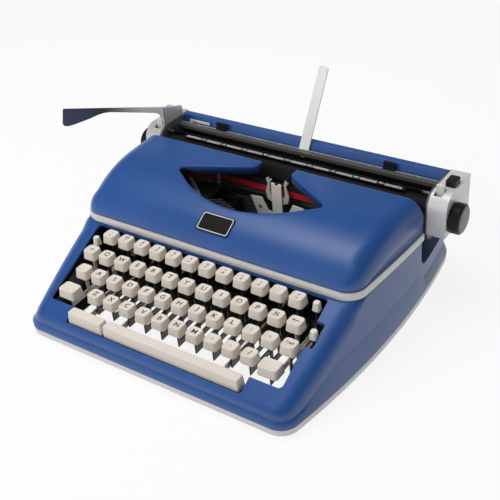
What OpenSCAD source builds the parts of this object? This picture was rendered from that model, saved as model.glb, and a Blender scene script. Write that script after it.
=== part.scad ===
// Portable manual typewriter, in millimetres.
// Stations are measured from the front edge of the base (y) and from the underside of its rim (z);
// set_on_table() moves them to the frame: the middle of the overall box in plan, z up from the table.

/* [Base] */
// Width of the base across its bowed sides
base_w = 327; // [322:1:340]
// Depth of the base from its front rim to its rear rim
base_d = 302; // [300:1:312]
// Height of the base rim
rim_h = 10; // [9:0.5:12]
// Thickness of the rim's outer lip
rim_t = 2.4; // [1.8:0.1:2.6]
// Width of the ledge inside the lip that carries the shell
ledge_w = 5; // [4:0.5:8]
// Depth of that ledge below the rim's top
ledge_drop = 3; // [2:0.5:4]
// Thickness of the base floor
pan_t = 1.5; // [1:0.1:2]
// Width of the opening in the base floor, under the keys
base_open_w = 236; // [220:1:240]
// Front edge of that opening
base_open_y0 = 32; // [31:0.5:40]
// Rear edge of that opening
base_open_y1 = 102; // [90:1:106]
// Radius of the base corners in plan
corner_r = 18; // [14:1:24]
// Radius of the bowed sides in plan
side_r = 800; // [700:10:1200]
// Station where the sides are widest
bow_y = 178; // [165:1:190]
// Diameter of a rubber foot
foot_d = 18; // [12:1:24]
// Height of a rubber foot
foot_h = 3; // [2:0.5:6]
// Distance of the feet from the sides and ends
foot_in = 30; // [26:1:36]

/* [Body] */
// Set-back of the shell from the rim's outer face
body_inset = 3; // [2.7:0.1:4]
// Wall of the body shell
wall = 2.5; // [2:0.1:3]
// Top of the shell, where the trim band lies
trim_z = 67; // [66:0.5:70]
// How much the sides lean in towards the front
lean_front = 8; // [4:0.5:10]
// How much the sides lean in at the rear of the cover
lean_rear = 1; // [0:0.5:3]
// Slope of the keyboard deck
deck_slope = 25.1; // [24:0.1:26]
// Height of the deck at the station deck_y
deck_z = 22; // [21:0.5:23]
// Radius of the rolled front edge
roll_r = 8; // [6:0.5:9]
// Radius of the edge between the deck and the sides
edge_r = 11; // [9:0.5:13]
// Height of the low rear part of the shell
rear_z = 34; // [31:0.5:37]
// Station where the shell drops to its low rear part
drop_y = 220; // [218:0.5:221]
// Radius of the fillet in that drop
drop_r = 11; // [8:0.5:14]
// Width of the flange round the low rear part
flange_w = 14; // [12:0.5:15]
// Width of the keyboard opening
kb_open_w = 258; // [256:1:262]
// Radius of the corners of the keyboard opening
kb_open_r = 4; // [2:0.5:6]
// Height of the trim band
trim_h = 7.6; // [6:0.2:8]
// How far the trim band stands out from the cover
trim_out = 1.2; // [0.6:0.1:2]
// Width of the trim band's seat on the shell
trim_in = 6; // [5:0.5:8]

/* [Ribbon cover] */
// Width of the ribbon cover at its rear edge
cover_w = 320; // [316:1:324]
// Station of the cover's front edge
cover_y0 = 105; // [104:0.5:107]
// Station of the cover's rear edge
cover_y1 = 218; // [216.5:0.5:218.5]
// Height of the cover's top
cover_z = 107.4; // [106.5:0.2:109]
// Run of the curved front of the cover
cover_run = 73; // [66:1:80]
// Radius of the cover's side edges
cover_r = 27; // [20:1:32]
// Radius of the cover's front corners in plan
cover_corner = 14; // [10:1:20]
// Wall of the cover
cover_t = 2.4; // [2:0.1:2.8]
// Half width of the type opening
eye_half = 78; // [70:1:84]
// Width of the gap behind the type opening
eye_gap = 38; // [32:1:44]
// Depth of the turned-down edge behind the opening
eye_lip = 9; // [5:0.5:10]
// Diameter of the cover's hinge pins
pin_d = 4; // [3:0.2:4.4]
// Width of the badge plate
badge_w = 35; // [28:1:44]
// Height of the badge plate along the slope
badge_h = 19; // [14:1:20]
// Thickness of the badge plate
badge_t = 1.2; // [1:0.1:1.4]

/* [Keyboard] */
// Pitch of the keys in a row
key_pitch = 19.05; // [19:0.05:19.2]
// Width of a key cap
cap_w = 14.6; // [13:0.2:15.4]
// Depth of a key cap
cap_d = 13.6; // [12.4:0.2:14]
// Height of a key cap
cap_h = 9; // [8:0.2:9.6]
// Taper of a cap from foot to top, each side
cap_taper = 1.1; // [0.5:0.1:1.5]
// Depth of the dish in a cap's top
cap_dish = 0.9; // [0.5:0.1:1.2]
// Travel of a key at its cap
key_dip = 8; // [6:0.5:8.5]
// Thickness of a key lever
lever_t = 1.2; // [1:0.1:1.5]
// Height of a key lever
lever_h = 6; // [5:0.5:7]
// Diameter of the shaft on which the levers turn
shaft_d = 5; // [4:0.2:5.4]
// Width of a shift key
shift_w = 20; // [18:0.5:22]
// Depth of a shift key
shift_d = 15; // [13:0.5:16]
// Width of the space bar
space_w = 148; // [140:1:152]
// Depth of the space bar
space_d = 11; // [9:0.5:12]

/* [Type basket] */
// Sideways place of the printing point
print_x = 8; // [4:0.5:12]
// Number of typebars
bars = 44; // [40:1:46]
// Angle of the fan of typebars
fan = 156; // [140:1:160]
// Radius of the typebar pivots in the segment
pivot_r = 28; // [26:0.5:30]
// Height of the printing point above the segment
print_h = 44; // [42:0.5:46]
// Tilt of the segment's axis
basket_tilt = 20; // [18:0.5:22]
// Thickness of a typebar
bar_t = 1; // [0.8:0.05:1.1]
// Travel of the basket when shifted
shift_drop = 6.5; // [5:0.5:7]
// Diameter of the posts that guide the basket
post_d = 5; // [4:0.5:6]

/* [Ribbon] */
// Width of the ribbon
ribbon_w = 13; // [12:0.5:13.5]
// Height of the ribbon's lower edge
ribbon_z = 75.5; // [75:0.5:77]
// Diameter of a ribbon spool
spool_d = 50; // [44:1:54]
// Distance of the spools from the printing point
spool_x = 115; // [112:1:117]
// Station of the spools
spool_y = 178; // [174:1:182]

// Turns of the tension spring beside the left spool
spring_turns = 10; // [6:1:12]
// Wire of that spring
spring_wire = 1; // [0.8:0.1:1.2]
// Mean radius of its turns
spring_r = 1.9; // [1.6:0.1:2.2]

/* [Carriage] */
// Length of the platen
platen_l = 299; // [294:1:302]
// Diameter of the platen
platen_d = 32; // [30:0.5:32]
// Station of the platen's axis
platen_y = 237; // [236.5:0.5:238]
// Height of the platen's axis
platen_z = 86.6; // [86:0.2:88]
// Thickness of the platen's rubber
rubber_t = 3; // [2:0.5:4]
// Diameter of the platen's axle
axle_d = 8; // [7:0.5:9]
// Diameter of a platen knob
knob_d = 29; // [26:0.5:30]
// Width of a platen knob
knob_w = 10.4; // [8:0.2:14]
// Width of an end cover
end_w = 18.3; // [17:0.1:20]
// Station of the end covers' front face
end_y0 = 222; // [221.5:0.5:223]
// Station of the end covers' rear face
end_y1 = 276; // [274:0.5:280]
// Height of the end covers' underside
end_z0 = 71; // [70:0.5:73]
// Height of the end covers' top
end_z1 = 111.3; // [111:0.1:112]
// Radius of the end covers' front top edge
end_r = 15; // [12:0.5:15]
// Thickness of the end covers
end_t = 1.6; // [1.2:0.1:2]
// Travel of the carriage to each side
carriage_travel = 120; // [100:1:121]
// Height of the bed rails' top
bed_z = 63; // [62.5:0.5:63]
// Width of a bed rail
bed_w = 6; // [5:0.5:7]
// Length of the paper support arm
support_l = 88; // [70:1:96]
// Lean of the paper support
support_lean = 17; // [15:0.5:19]
// Sideways tilt of the paper support
support_tilt = 8; // [0:1:20]
// Length of the return lever from its fold
return_l = 112; // [100:1:118]
// Angle of the return lever from straight left
return_a = 27; // [20:1:32]
// Number of teeth on the escapement pinion
pinion_n = 14; // [12:1:16]

/* [Fits] */
// Radial running clearance of shafts and pins
fit = 0.05; // [0.02:0.01:0.08]
// Gap between parts that move past each other
gap = 0.3; // [0.25:0.05:0.4]

/* [Hidden] */
$fn = 48;
side_n = 36;
corner_n = 10;
cover_n = 16;
far = 400;
ledge_z = rim_h - ledge_drop;
deck_y = 10;
deck_top_y = deck_y + (trim_z - deck_z) / tan(deck_slope);
front_y = body_inset + 0.05;
beam_y = deck_top_y + 6;
edge_end = deck_top_y + 12;
edge_fade = 22;
edge_leave = 8;
edge_n = 6;
kb_x = -2.15;
kb_y0 = 23.5;
kb_y1 = deck_top_y - 2.5;
key0_x = kb_x - 5.5 * key_pitch;

frame_x = 135;
frame_t = 2;
frame_z = ribbon_z - 6;
plate_t = 1.5;
spool_z = frame_z + plate_t;
hinge_y = cover_y1 - 6;
hinge_z = cover_z - 7.4;
hinge_head = 3.6;
lug_w = 6;
stub_z = 25;
stub_d = 3;
selector_y = 72.4;
touch_y = 87.5;
reverse_y = 94.6;

cover_zb = trim_z + trim_h + gap;
cover_taper = 13;
eye_x = print_x - 2;
eye_y0 = 140;
eye_y1 = 172;
eye_back = cover_y1 - 13.5;
badge_y = cover_y0 + 16.5;

row_y = [92.8, 73.3, 54.8, 37.0];
row_z = [67.9, 58.5, 49.6, 41.4];
row_first = [0, 0.5, 0.75, 1.25];
row_count = [12, 11, 11, 10];
shaft_y = 200;
shaft_z = 22;
lever_z = 20;
eye_r = 4.5;
comb_y = 110;
comb_z = lever_z - lever_h / 2 - key_dip * (shaft_y - comb_y) / (shaft_y - row_y[0]) - 2;
space_y = 16;
space_z = 29;
space_x = 19;
space_h = 9;
repeat_w = 41;
repeat_x = space_x - space_w / 2 - 2 - repeat_w / 2;
shift_y = 35;
shift_z = 39;
shift_rod_y = 150;
shift_rod_z = lever_z - 9;
shift_rod_d = 3.6;
space_arms = [3.125, 9.125];
repeat_arm = 1.125;
shift_arms = [-0.375, 11.375];
lock_i = -0.25;
tab_i = 11.75;
release_i = -0.5;
back_i = 11.5;

strike_y = platen_y - platen_d / 2 - 0.5;
seg_y = strike_y - print_h * sin(basket_tilt);
seg_z = platen_z - print_h * cos(basket_tilt);
slug_r = pivot_r + sqrt(pivot_r * pivot_r + print_h * print_h);
seg_top = -2;
seg_t = 8;
slug_w = 2.6;
post_x = 46;
post_y = 212.5;
brace_y = 207;
brace_t = 2;
brace_z1 = seg_z + seg_top - seg_t - shift_drop - 0.8;
guide_y = brace_y + brace_t + 2;
guide_t = 1.2;
vib_y = guide_y + guide_t + gap;
vib_t = 1.2;
ribbon_y = strike_y - 4.1;
ribbon_t = 0.4;
guide_post_x = 72;
wound_d = 39;
spindle_d = 5;
plate_edge = 66;
peg_d = 2.4;
spring_leg = 3;
spring_z = spool_z + 5.5;
spring_a = [print_x - spool_x, spool_y] + (spool_d / 2 + 3.2) * [cos(57), sin(57)];
spring_b = [print_x - plate_edge - 3.5, spool_y - 0.8];

side_in = platen_l / 2 + 1.5;
side_t = 2;
end_in = side_in + side_t;
end_out = end_in + end_w;
bed_h = 5;
bed_y0 = end_y0 + 4;
bed_y1 = end_y0 + 40;
tray_z = bed_z + gap + 2.7;
tray_t = 2;
tray_y1 = end_y1 - 2;
knob_x = end_out + 0.7;
roller_d = 9;
roller_a = 320;
roller_j = 4;
roller_y = platen_y + (platen_d / 2 + roller_d / 2 + gap) * cos(roller_a);
roller_z = platen_z + (platen_d / 2 + roller_d / 2 + gap) * sin(roller_a);
rail_y0 = 253.6;
rail_y1 = 261.3;
rail_z0 = 101.5;
rail_z1 = 105;
face_y = end_y1 - 9.5;
table_t = 1.6;
support_x = 9.3;
support_z = 101;
support_t = 1.5;
support_w0 = 11;
support_w1 = 10;
support_pin = 3;
bail_y = 249.5;
bail_z = 106.5;
bail_r = platen_d / 2 + 1.9;
bail_a = 98;
bail_half = 126;
bail_pin = 3;
stop_x = [-90, 105];
stop_w = 12;
guide_x = print_x - side_in + 10;
guide_w = 26;
lever_x = -(end_out - 9.5);
lever_y = 256;
lever_top = 121;
lever_pin = 6;
blade_t = 2.4;
blade_rise = 21;
fold_x = 9.4;
fold_y = 22.5;
hub_y = 8;
box_left = print_x + lever_x + fold_x - return_l * cos(return_a) - blade_t / 2 * sin(return_a);
box_mid = (box_left + print_x + knob_x + knob_w) / 2;
release_y = 235;
release_z = 103;
release_pin = 3;
release_w = 7;
catch_x = end_out - 7;
catch_y = 251.3;
rack_y = tray_y1 - 5;
rack_m = 1;
rack_run = 29.5;
pinion_r = rack_m * pinion_n / 2;
pinion_z = bed_z - 2 - pinion_r;
pinion_w = 2.4;
pinion_pin = 4;
back_y = base_d - 26;
drum_x = -100;
drum_z = 40;
drum_r = 15;

// Placing and drawing helpers
module set_on_table() {
    translate([-box_mid, -base_d / 2, foot_h]) children();
}
module on_carriage() {
    translate([print_x, 0, 0]) children();
}
module along_x(x0, x1) {
    translate([x0, 0, 0]) rotate([90, 0, 90]) linear_extrude(x1 - x0) children();
}
module along_y(y0, y1) {
    translate([0, y1, 0]) rotate([90, 0, 0]) linear_extrude(y1 - y0) children();
}
module along_z(z0, z1) {
    translate([0, 0, z0]) linear_extrude(z1 - z0) children();
}
module box(x0, x1, y0, y1, z0, z1) {
    translate([x0, y0, z0]) cube([x1 - x0, y1 - y0, z1 - z0]);
}
module rod_x(x0, x1, y, z, d) {
    translate([x0, y, z]) rotate([0, 90, 0]) cylinder(d = d, h = x1 - x0);
}
module rod_y(y0, y1, x, z, d) {
    translate([x, y1, z]) rotate([90, 0, 0]) cylinder(d = d, h = y1 - y0);
}
module rod_z(x, y, z0, z1, d) {
    translate([x, y, z0]) cylinder(d = d, h = z1 - z0);
}
module both_hands() {
    children();
    mirror([1, 0, 0]) children();
}
module disc(y, z, d) {
    translate([y, z]) circle(d = d);
}
module rounded(x0, x1, y0, y1, r) {
    translate([x0 + r, y0]) square([x1 - x0 - 2 * r, y1 - y0]);
    translate([x0, y0 + r]) square([x1 - x0, y1 - y0 - 2 * r]);
    for (x = [x0 + r, x1 - r], y = [y0 + r, y1 - r]) translate([x, y]) circle(r = r);
}
function arc(c, r, a0, a1, n) = [for (i = [0:n]) let(a = a0 + (a1 - a0) * i / n) c + r * [cos(a), sin(a)]];
function flipped(pts) = [for (i = [len(pts) - 1:-1:0]) [-pts[i].x, pts[i].y]];
function both_sides(pts) = concat(pts, flipped(pts));
function key_x(i) = key0_x + i * key_pitch;
function row_keys(r) = [for (k = [0:row_count[r] - 1]) row_first[r] + k];

// Plan of the base: bowed sides, rounded corners, inset by d; k from 0 at the ledge to 1 at the trim
function half_w(y) = base_w / 2 - pow(y - bow_y, 2) / (2 * side_r);
function side_turn(y) = atan((bow_y - y) / side_r);
function lean(y) = lean_rear + (lean_front - lean_rear) * min(1, max(0, (drop_y - y) / 90));
function side_x(y, d, k) = half_w(y) - d - k * lean(y);
function plan(d, k) = let(
    r = max(1, corner_r - d),
    af = side_turn(d + r),
    yf = d + r * (1 - sin(af)),
    ar = -side_turn(base_d - d - r),
    yr = base_d - d - r * (1 - sin(ar)))
    concat(
        arc([side_x(yf, d, k) - r * cos(af), d + r], r, -90, -af, corner_n),
        [for (i = [1:side_n - 1]) let(y = yf + (yr - yf) * i / side_n) [side_x(y, d, k), y]],
        arc([side_x(yr, d, k) - r * cos(ar), base_d - d - r], r, ar, 90, corner_n));
function outline(d, k = 0) = both_sides(plan(d, k));
function lean_at(z) = (z - ledge_z) / (trim_z - ledge_z);

// Solid through a list of closed sections with as many points each, the first one facing down or forward
module loft(sections, flip = false) {
    n = len(sections[0]);
    last = len(sections) - 1;
    sides = [for (s = [0:last - 1], i = [0:n - 1])
        let(a = s * n + i, b = s * n + (i + 1) % n)
        each [[a, a + n, b + n], [a, b + n, b]]];
    ends = [[for (i = [0:n - 1]) i], [for (i = [n - 1:-1:0]) last * n + i]];
    faces = concat(sides, ends);
    polyhedron(
        points = [for (s = sections) each s],
        faces = flip ? [for (f = faces) [for (i = [len(f) - 1:-1:0]) f[i]]] : faces);
}
module body_loft(d, z0, z1) {
    loft([for (z = [z0, z1]) [for (p = outline(d, lean_at(z))) [p.x, p.y, z]]]);
}

// Base
module bottom_pan() {
    color("silver") set_on_table() difference() {
        along_z(0, rim_h) polygon(outline(0));
        along_z(ledge_z, rim_h + 1) polygon(outline(rim_t));
        along_z(pan_t, rim_h + 1) polygon(outline(rim_t + ledge_w));
        along_z(-1, pan_t + 1) rounded(-base_open_w / 2, base_open_w / 2, base_open_y0, base_open_y1, 6);
    }
}
module rubber_feet() {
    color("dimgray") set_on_table()
        for (x = [-1, 1], y = [foot_in, base_d - foot_in])
            rod_z(x * (base_w / 2 - foot_in), y, -foot_h, 0, foot_d);
}

// Body shell
function deck(y, t = 0) = deck_z + tan(deck_slope) * (y - deck_y) - t / cos(deck_slope);
roll_c = [front_y + roll_r, deck(front_y + roll_r, roll_r)];
module body_profile(t) {
    top = t == 0
        ? concat([[deck_top_y, trim_z], [drop_y, trim_z]],
            arc([drop_y + drop_r, rear_z + drop_r], drop_r, 180, 270, corner_n),
            [[base_d + 5, rear_z]])
        : [[deck_top_y, trim_z - t], [beam_y, trim_z - t], [beam_y, trim_z + 20],
            [drop_y + 2, trim_z + 20], [drop_y + 2, rear_z - t], [base_d + 5, rear_z - t]];
    polygon(concat(
        [[base_d + 5, -20], [front_y + t, -20]],
        arc(roll_c, roll_r - t, 180, 90 + deck_slope, corner_n),
        [[deck_top_y - 2, deck(deck_top_y - 2, t)]],
        top));
}

// Rounded edge between the deck and the sides; t is the depth below the outer skin
function roll_end(t) = roll_c.x - (roll_r - t) * sin(deck_slope);
function body_top(y, t) = y < roll_end(t)
    ? roll_c.y + sqrt(max(0, pow(roll_r - t, 2) - pow(y - roll_c.x, 2)))
    : min(trim_z - t, deck(y, t));
function body_x(y, d, z) = let(
    k = lean_at(z),
    r = corner_r - d,
    a = side_turn(d + r),
    yf = d + r * (1 - sin(a)))
    y < yf
    ? side_x(yf, d, k) - r * cos(a) + sqrt(max(0, r * r - pow(d + r - y, 2)))
    : side_x(y, d, k);
function edge_section(y, t) = let(
    room = body_top(y, 0) - ledge_z - 4,
    r = max(0.7, min(edge_r * min(1, (edge_end - y) / edge_fade), room) - t),
    d = body_inset + t,
    leave = max(0, 1 - (edge_end - y) / edge_leave),
    z = body_top(y, t) + leave,
    low = body_x(y, d, z - r) + leave,
    c = body_x(y, d, z) - r + leave)
    [for (p = concat(
        [[low + 5, z - r], [low + 5, z + 4], [c, z + 4]],
        [for (i = [0:edge_n]) let(a = 90 - 90 * i / edge_n) [c + (low - c) * cos(a), z - r + r * sin(a)]]))
        [p.x, y, p.y]];
module edge_relief(t) {
    y0 = front_y + t - 0.6;
    n = 16;
    both_hands() loft([for (i = [0:n]) edge_section(y0 + (edge_end - y0) * pow(i / n, 1.5), t)], flip = true);
}
module keyboard_cut() {
    rounded(kb_x - kb_open_w / 2, kb_x + kb_open_w / 2, kb_y0, kb_y1, kb_open_r);
    rounded(repeat_x - repeat_w / 2 - 2, space_x + space_w / 2 + 3, space_y - space_d / 2 - 2, kb_y0 + 8, 3);
    side = kb_x + kb_open_w / 2;
    rounded(side - 10, side + 8, selector_y - 11.4, selector_y + 10.6, 2);
}
module body_shell() {
    color([0.13, 0.33, 0.59]) set_on_table() difference() {
        intersection() {
            body_loft(body_inset, ledge_z, trim_z + 1);
            along_x(-far, far) body_profile(0);
        }
        edge_relief(0);
        difference() {
            intersection() {
                body_loft(body_inset + wall, ledge_z - 1, trim_z + 10);
                along_x(-far, far) body_profile(wall);
            }
            edge_relief(wall);
        }
        along_z(rear_z - wall - 1, trim_z + 10) intersection() {
            polygon(outline(body_inset + flange_w));
            translate([-far, drop_y + 2]) square([2 * far, base_d]);
        }
        along_z(ledge_z + 1, trim_z + 10) keyboard_cut();
    }
}

// Ribbon cover and the trim under it
function cover_half(y) =
    cover_w / 2 - cover_taper * pow(max(0, cover_y1 - y) / (cover_y1 - cover_y0), 1.3);
cover_cy = cover_y0 + cover_corner;
cover_cx = cover_half(cover_cy) - cover_corner;
function cover_side(g) = concat(
    arc([cover_cx, cover_cy], cover_corner + g, -90, 0, corner_n),
    [for (i = [1:cover_n]) let(y = cover_cy + (cover_y1 - cover_cy) * i / cover_n) [cover_half(y) + g, y]]);
function cover_plan(g, rear = 0) =
    both_sides(concat(cover_side(g), [[cover_half(cover_y1) + g, cover_y1 + rear]]));
function cover_at(y, t) = y >= cover_cy
    ? cover_half(y) - t
    : cover_cx + sqrt(max(0, pow(cover_corner - t, 2) - pow(cover_cy - y, 2)));
function cover_top(y, t = 0) = let(u = max(0, (cover_y0 + t + cover_run - y) / cover_run))
    cover_zb + (cover_z - t - cover_zb) * pow(1 - pow(min(1, u), 1.8), 0.588);
function cover_section(y, t, zb) = let(
    w = cover_at(y, t),
    zt = cover_top(y, t),
    r = min(cover_r - t, 0.9 * (zt - cover_zb)),
    half = concat([[w, zb]], arc([w - r, zt - r], r, 0, 90, corner_n)))
    [for (p = both_sides(half)) [p.x, y, p.y]];
module cover_loft(t, zb, rear = 0) {
    n = cover_n;
    y0 = cover_y0 + t + 0.15;
    ys = concat([for (i = [0:n]) y0 + (cover_y1 - y0) * pow(i / n, 1.8)],
        rear > 0 ? [cover_y1 + rear] : []);
    loft([for (y = ys) cover_section(y, t, zb)], flip = true);
}
module eye_outline() {
    sag = eye_y1 - eye_y0;
    r = (eye_half * eye_half + sag * sag) / (2 * sag);
    a = asin(eye_half / r);
    rear = [[-eye_half + 2, eye_y1 + 5], [-eye_gap / 2 - 5, eye_back], [-eye_gap / 2, eye_back + 4],
        [-eye_gap / 2, cover_y1 + 5]];
    translate([eye_x, 0]) polygon(concat(
        arc([0, eye_y0 + r], r, -90 + a, -90 - a, 24), rear, flipped(rear)));
}
module eye_lips() {
    lip = 1.8;
    translate([eye_x, 0]) both_hands() polygon([
        [eye_half - 2, eye_y1 + 5], [eye_gap / 2 + 5, eye_back], [eye_gap / 2, eye_back + 4],
        [eye_gap / 2, cover_y1], [eye_gap / 2 + lip, cover_y1], [eye_gap / 2 + lip, eye_back + 5],
        [eye_gap / 2 + 6, eye_back + 2], [eye_half - 2, eye_y1 + 7.5]]);
}
module badge_seat() {
    y0 = badge_y - badge_h * 0.4;
    y1 = badge_y + badge_h * 0.4;
    slope = atan((cover_top(y1) - cover_top(y0)) / (y1 - y0));
    translate([0, badge_y, (cover_top(y0) + cover_top(y1)) / 2]) rotate([slope, 0, 0])
        translate([0, 0, 0.25]) children();
}
module ribbon_cover() {
    color([0.13, 0.33, 0.59]) set_on_table() difference() {
        union() {
            difference() {
                cover_loft(0, cover_zb);
                cover_loft(cover_t, cover_zb - 5, 5);
                along_z(cover_zb, cover_z + 5) eye_outline();
            }
            intersection() {
                cover_loft(cover_t / 2, cover_zb - 5);
                union() {
                    along_z(cover_z - eye_lip, cover_z) eye_lips();
                    both_hands() along_x(frame_x - 0.5 - lug_w, frame_x - 0.5) {
                        disc(hinge_y, hinge_z, pin_d + 4);
                        translate([hinge_y - 4, hinge_z]) square([8, cover_z - hinge_z]);
                    }
                }
            }
        }
        rod_x(-frame_x, frame_x, hinge_y, hinge_z, pin_d + 2 * fit);
        along_x(-far, far) difference() {
            translate([hinge_y, cover_zb - 1]) square([10, 4]);
            disc(hinge_y, hinge_z, 2 * (hinge_z - cover_zb));
        }
        badge_seat() box(-badge_w / 2 - 0.1, badge_w / 2 + 0.1, -badge_h / 2 - 0.1, badge_h / 2 + 0.1, 0, 9);
    }
}
module badge_plate() {
    color("black") set_on_table() badge_seat() linear_extrude(badge_t)
        rounded(-badge_w / 2, badge_w / 2, -badge_h / 2, badge_h / 2, 2);
}
module trim_band() {
    color("silver") set_on_table() along_z(trim_z, trim_z + trim_h) difference() {
        polygon(cover_plan(trim_out));
        polygon(cover_plan(-trim_in, 5));
    }
}

// Chassis
module frame_profile() {
    bed = bed_z - bed_h;
    difference() {
        union() {
            polygon([
                [26, pan_t], [26, 15], [100, deck(100, wall) - 8], [140, frame_z], [204, frame_z],
                [hinge_y - hinge_head, hinge_z], [hinge_y + hinge_head, hinge_z], [drop_y - 1.5, frame_z],
                [end_y0, bed], [end_y1, bed], [back_y + 4, bed - 8], [base_d - 18, pan_t]]);
            disc(hinge_y, hinge_z, 2 * hinge_head);
        }
        disc(hinge_y, hinge_z, pin_d + 2 * fit);
        polygon([[60, 10], [115, 36], [190, 40], [190, 10]]);
    }
}
module left_side_frame() {
    color("dimgray") set_on_table() {
        along_x(-frame_x - frame_t, -frame_x) frame_profile();
        rod_x(-frame_x - 1, -frame_x + 14, touch_y, stub_z, stub_d);
    }
}
module right_side_frame() {
    color("dimgray") set_on_table() {
        along_x(frame_x, frame_x + frame_t) frame_profile();
        rod_x(frame_x - 6.8, frame_x + 1, selector_y, stub_z, stub_d);
        rod_x(frame_x - 16.4, frame_x + 1, reverse_y, stub_z, stub_d);
    }
}
module cross_braces() {
    color("gray") set_on_table() {
        box(-frame_x, frame_x, 28, 30, pan_t, 8);
        box(-frame_x, frame_x, brace_y, brace_y + brace_t, 12, brace_z1);
        on_carriage() both_hands() rod_z(post_x, post_y, pan_t, seg_z + 15, post_d);
        difference() {
            box(-frame_x, frame_x, back_y, back_y + 2, 20, bed_z - bed_h - 1);
            rod_y(back_y - 1, back_y + 3, print_x, pinion_z, pinion_pin + 2 * fit);
            rod_y(back_y - 1, back_y + 3, drum_x, drum_z, pinion_pin + 2 * fit);
        }
    }
}
module bed_rails() {
    color("silver") set_on_table() for (y = [bed_y0, bed_y1])
        box(-frame_x - 6, frame_x + 6, y, y + bed_w, bed_z - bed_h, bed_z);
}
module cover_hinge_pins() {
    color("silver") set_on_table() both_hands()
        rod_x(frame_x - lug_w - 1, frame_x + frame_t, hinge_y, hinge_z, pin_d);
}
module key_shaft() {
    color("silver") set_on_table() rod_x(-frame_x, frame_x, shaft_y, shaft_z, shaft_d);
}
function lever_places() = concat(
    [for (r = [0:3]) each row_keys(r)],
    space_arms, shift_arms, [repeat_arm, lock_i, tab_i, release_i, back_i]);
module key_comb() {
    color("silver") set_on_table() difference() {
        box(-frame_x, frame_x, comb_y, comb_y + 2, comb_z - 3, 30);
        for (i = lever_places())
            translate([key_x(i), 0, 0])
                box(-lever_t / 2 - 0.4, lever_t / 2 + 0.4, comb_y - 1, comb_y + 3, comb_z, 31);
    }
}

// Keyboard
function cap_ring(w, d, r, z) = [for (c = [0:3], a = [0, 45, 90])
    let(q = c * 90, s = [[1, 1], [-1, 1], [-1, -1], [1, -1]][c])
    [s.x * (w / 2 - r) + r * cos(q + a), s.y * (d / 2 - r) + r * sin(q + a), z]];
module key_cap(w = cap_w, d = cap_d, h = cap_h) {
    t = cap_taper;
    rings = [
        cap_ring(w, d, 3, 0), cap_ring(w - 1.6 * t, d - 1.6 * t, 3, h - 1),
        cap_ring(w - 2 * t - 0.8, d - 2 * t - 0.8, 2.6, h),
        cap_ring(w - 2 * t - 5, d - 2 * t - 5, min(2, 0.4 * (d - 2 * t - 5)), h - cap_dish)];
    loft(rings);
}
module key_lever(i, y, z_top) {
    r = (shaft_d / 2 + fit) / cos(22.5);
    x = key_x(i);
    along_x(x - lever_t / 2, x + lever_t / 2) difference() {
        union() {
            translate([shaft_y - eye_r, shaft_z - eye_r]) square([2 * eye_r, 2 * eye_r]);
            polygon([
                [shaft_y - eye_r, shaft_z + lever_h / 2], [y - 1.8, lever_z + lever_h / 2],
                [y - 1.8, lever_z - lever_h / 2], [shaft_y - eye_r, shaft_z - lever_h / 2]]);
            translate([y - 1.8, lever_z - lever_h / 2]) square([3.6, z_top - lever_z + lever_h / 2]);
        }
        translate([shaft_y, shaft_z]) rotate(22.5) circle(r = r, $fn = 8);
    }
}
module row_caps(r) {
    color("ivory") set_on_table() for (i = row_keys(r))
        translate([key_x(i), row_y[r], row_z[r] - cap_h]) key_cap();
}
module row_levers(r) {
    color("dimgray") set_on_table() for (i = row_keys(r)) key_lever(i, row_y[r], row_z[r] - cap_h);
}
module single_key(i, r) {
    set_on_table() {
        color("ivory") translate([key_x(i), row_y[r], row_z[r] - cap_h]) key_cap();
        color("dimgray") key_lever(i, row_y[r], row_z[r] - cap_h);
    }
}
module number_row_keys() { row_caps(0); }
module number_row_levers() { row_levers(0); }
module top_row_keys() { row_caps(1); }
module top_row_levers() { row_levers(1); }
module home_row_keys() { row_caps(2); }
module home_row_levers() { row_levers(2); }
module bottom_row_keys() { row_caps(3); }
module bottom_row_levers() { row_levers(3); }
module margin_release_key() { single_key(release_i, 1); }
module backspace_key() { single_key(back_i, 1); }
module shift_lock_key() { single_key(lock_i, 2); }
module tab_key() { single_key(tab_i, 2); }
module shift_keys() {
    set_on_table() {
        for (i = shift_arms) {
            color("ivory") translate([key_x(i), shift_y, shift_z - cap_h]) key_cap(shift_w, shift_d);
            color("dimgray") key_lever(i, shift_y, shift_z - cap_h);
        }
        color("dimgray") rod_x(
            key_x(shift_arms[0]), key_x(shift_arms[1]), shift_rod_y, shift_rod_z, shift_rod_d);
        for (i = shift_arms) color("dimgray") along_x(key_x(i) - lever_t / 2, key_x(i) + lever_t / 2)
            translate([shift_rod_y - 3, shift_rod_z - 2]) square([6, lever_z - shift_rod_z + 2]);
    }
}
module bar_cap(x, w) {
    translate([x, space_y, space_z - space_h]) key_cap(w, space_d, space_h);
}
module space_bar() {
    set_on_table() {
        color("ivory") bar_cap(space_x, space_w);
        color("dimgray") for (i = space_arms) key_lever(i, space_y, space_z - space_h);
    }
}
module repeat_bar() {
    set_on_table() {
        color("ivory") bar_cap(repeat_x, repeat_w);
        color("dimgray") key_lever(repeat_arm, space_y, space_z - space_h);
    }
}

// Small levers beside the keys, each on a stub pin of its side frame
module side_lever(x, y, z, hub0, hub1) {
    color("ivory") set_on_table() difference() {
        union() {
            box(x - 1, x + 1, y - 2, y + 2, stub_z, z);
            rod_x(hub0, hub1, y, stub_z, stub_d + 4);
            along_z(z, z + 4) rounded(x - 3.5, x + 3.5, y - 4, y + 4, 3.4);
        }
        rod_x(hub0 - 1, hub1 + 1, y, stub_z, stub_d + 2 * fit);
    }
}
module ribbon_selector() { side_lever(129.8, selector_y, 51, 128.8, frame_x - gap); }
module touch_lever() { side_lever(-122.6, touch_y, 58, -frame_x + gap, -121.6); }
module ribbon_reverse_lever() { side_lever(120.2, reverse_y, 62, 119.2, frame_x - gap); }

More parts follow.
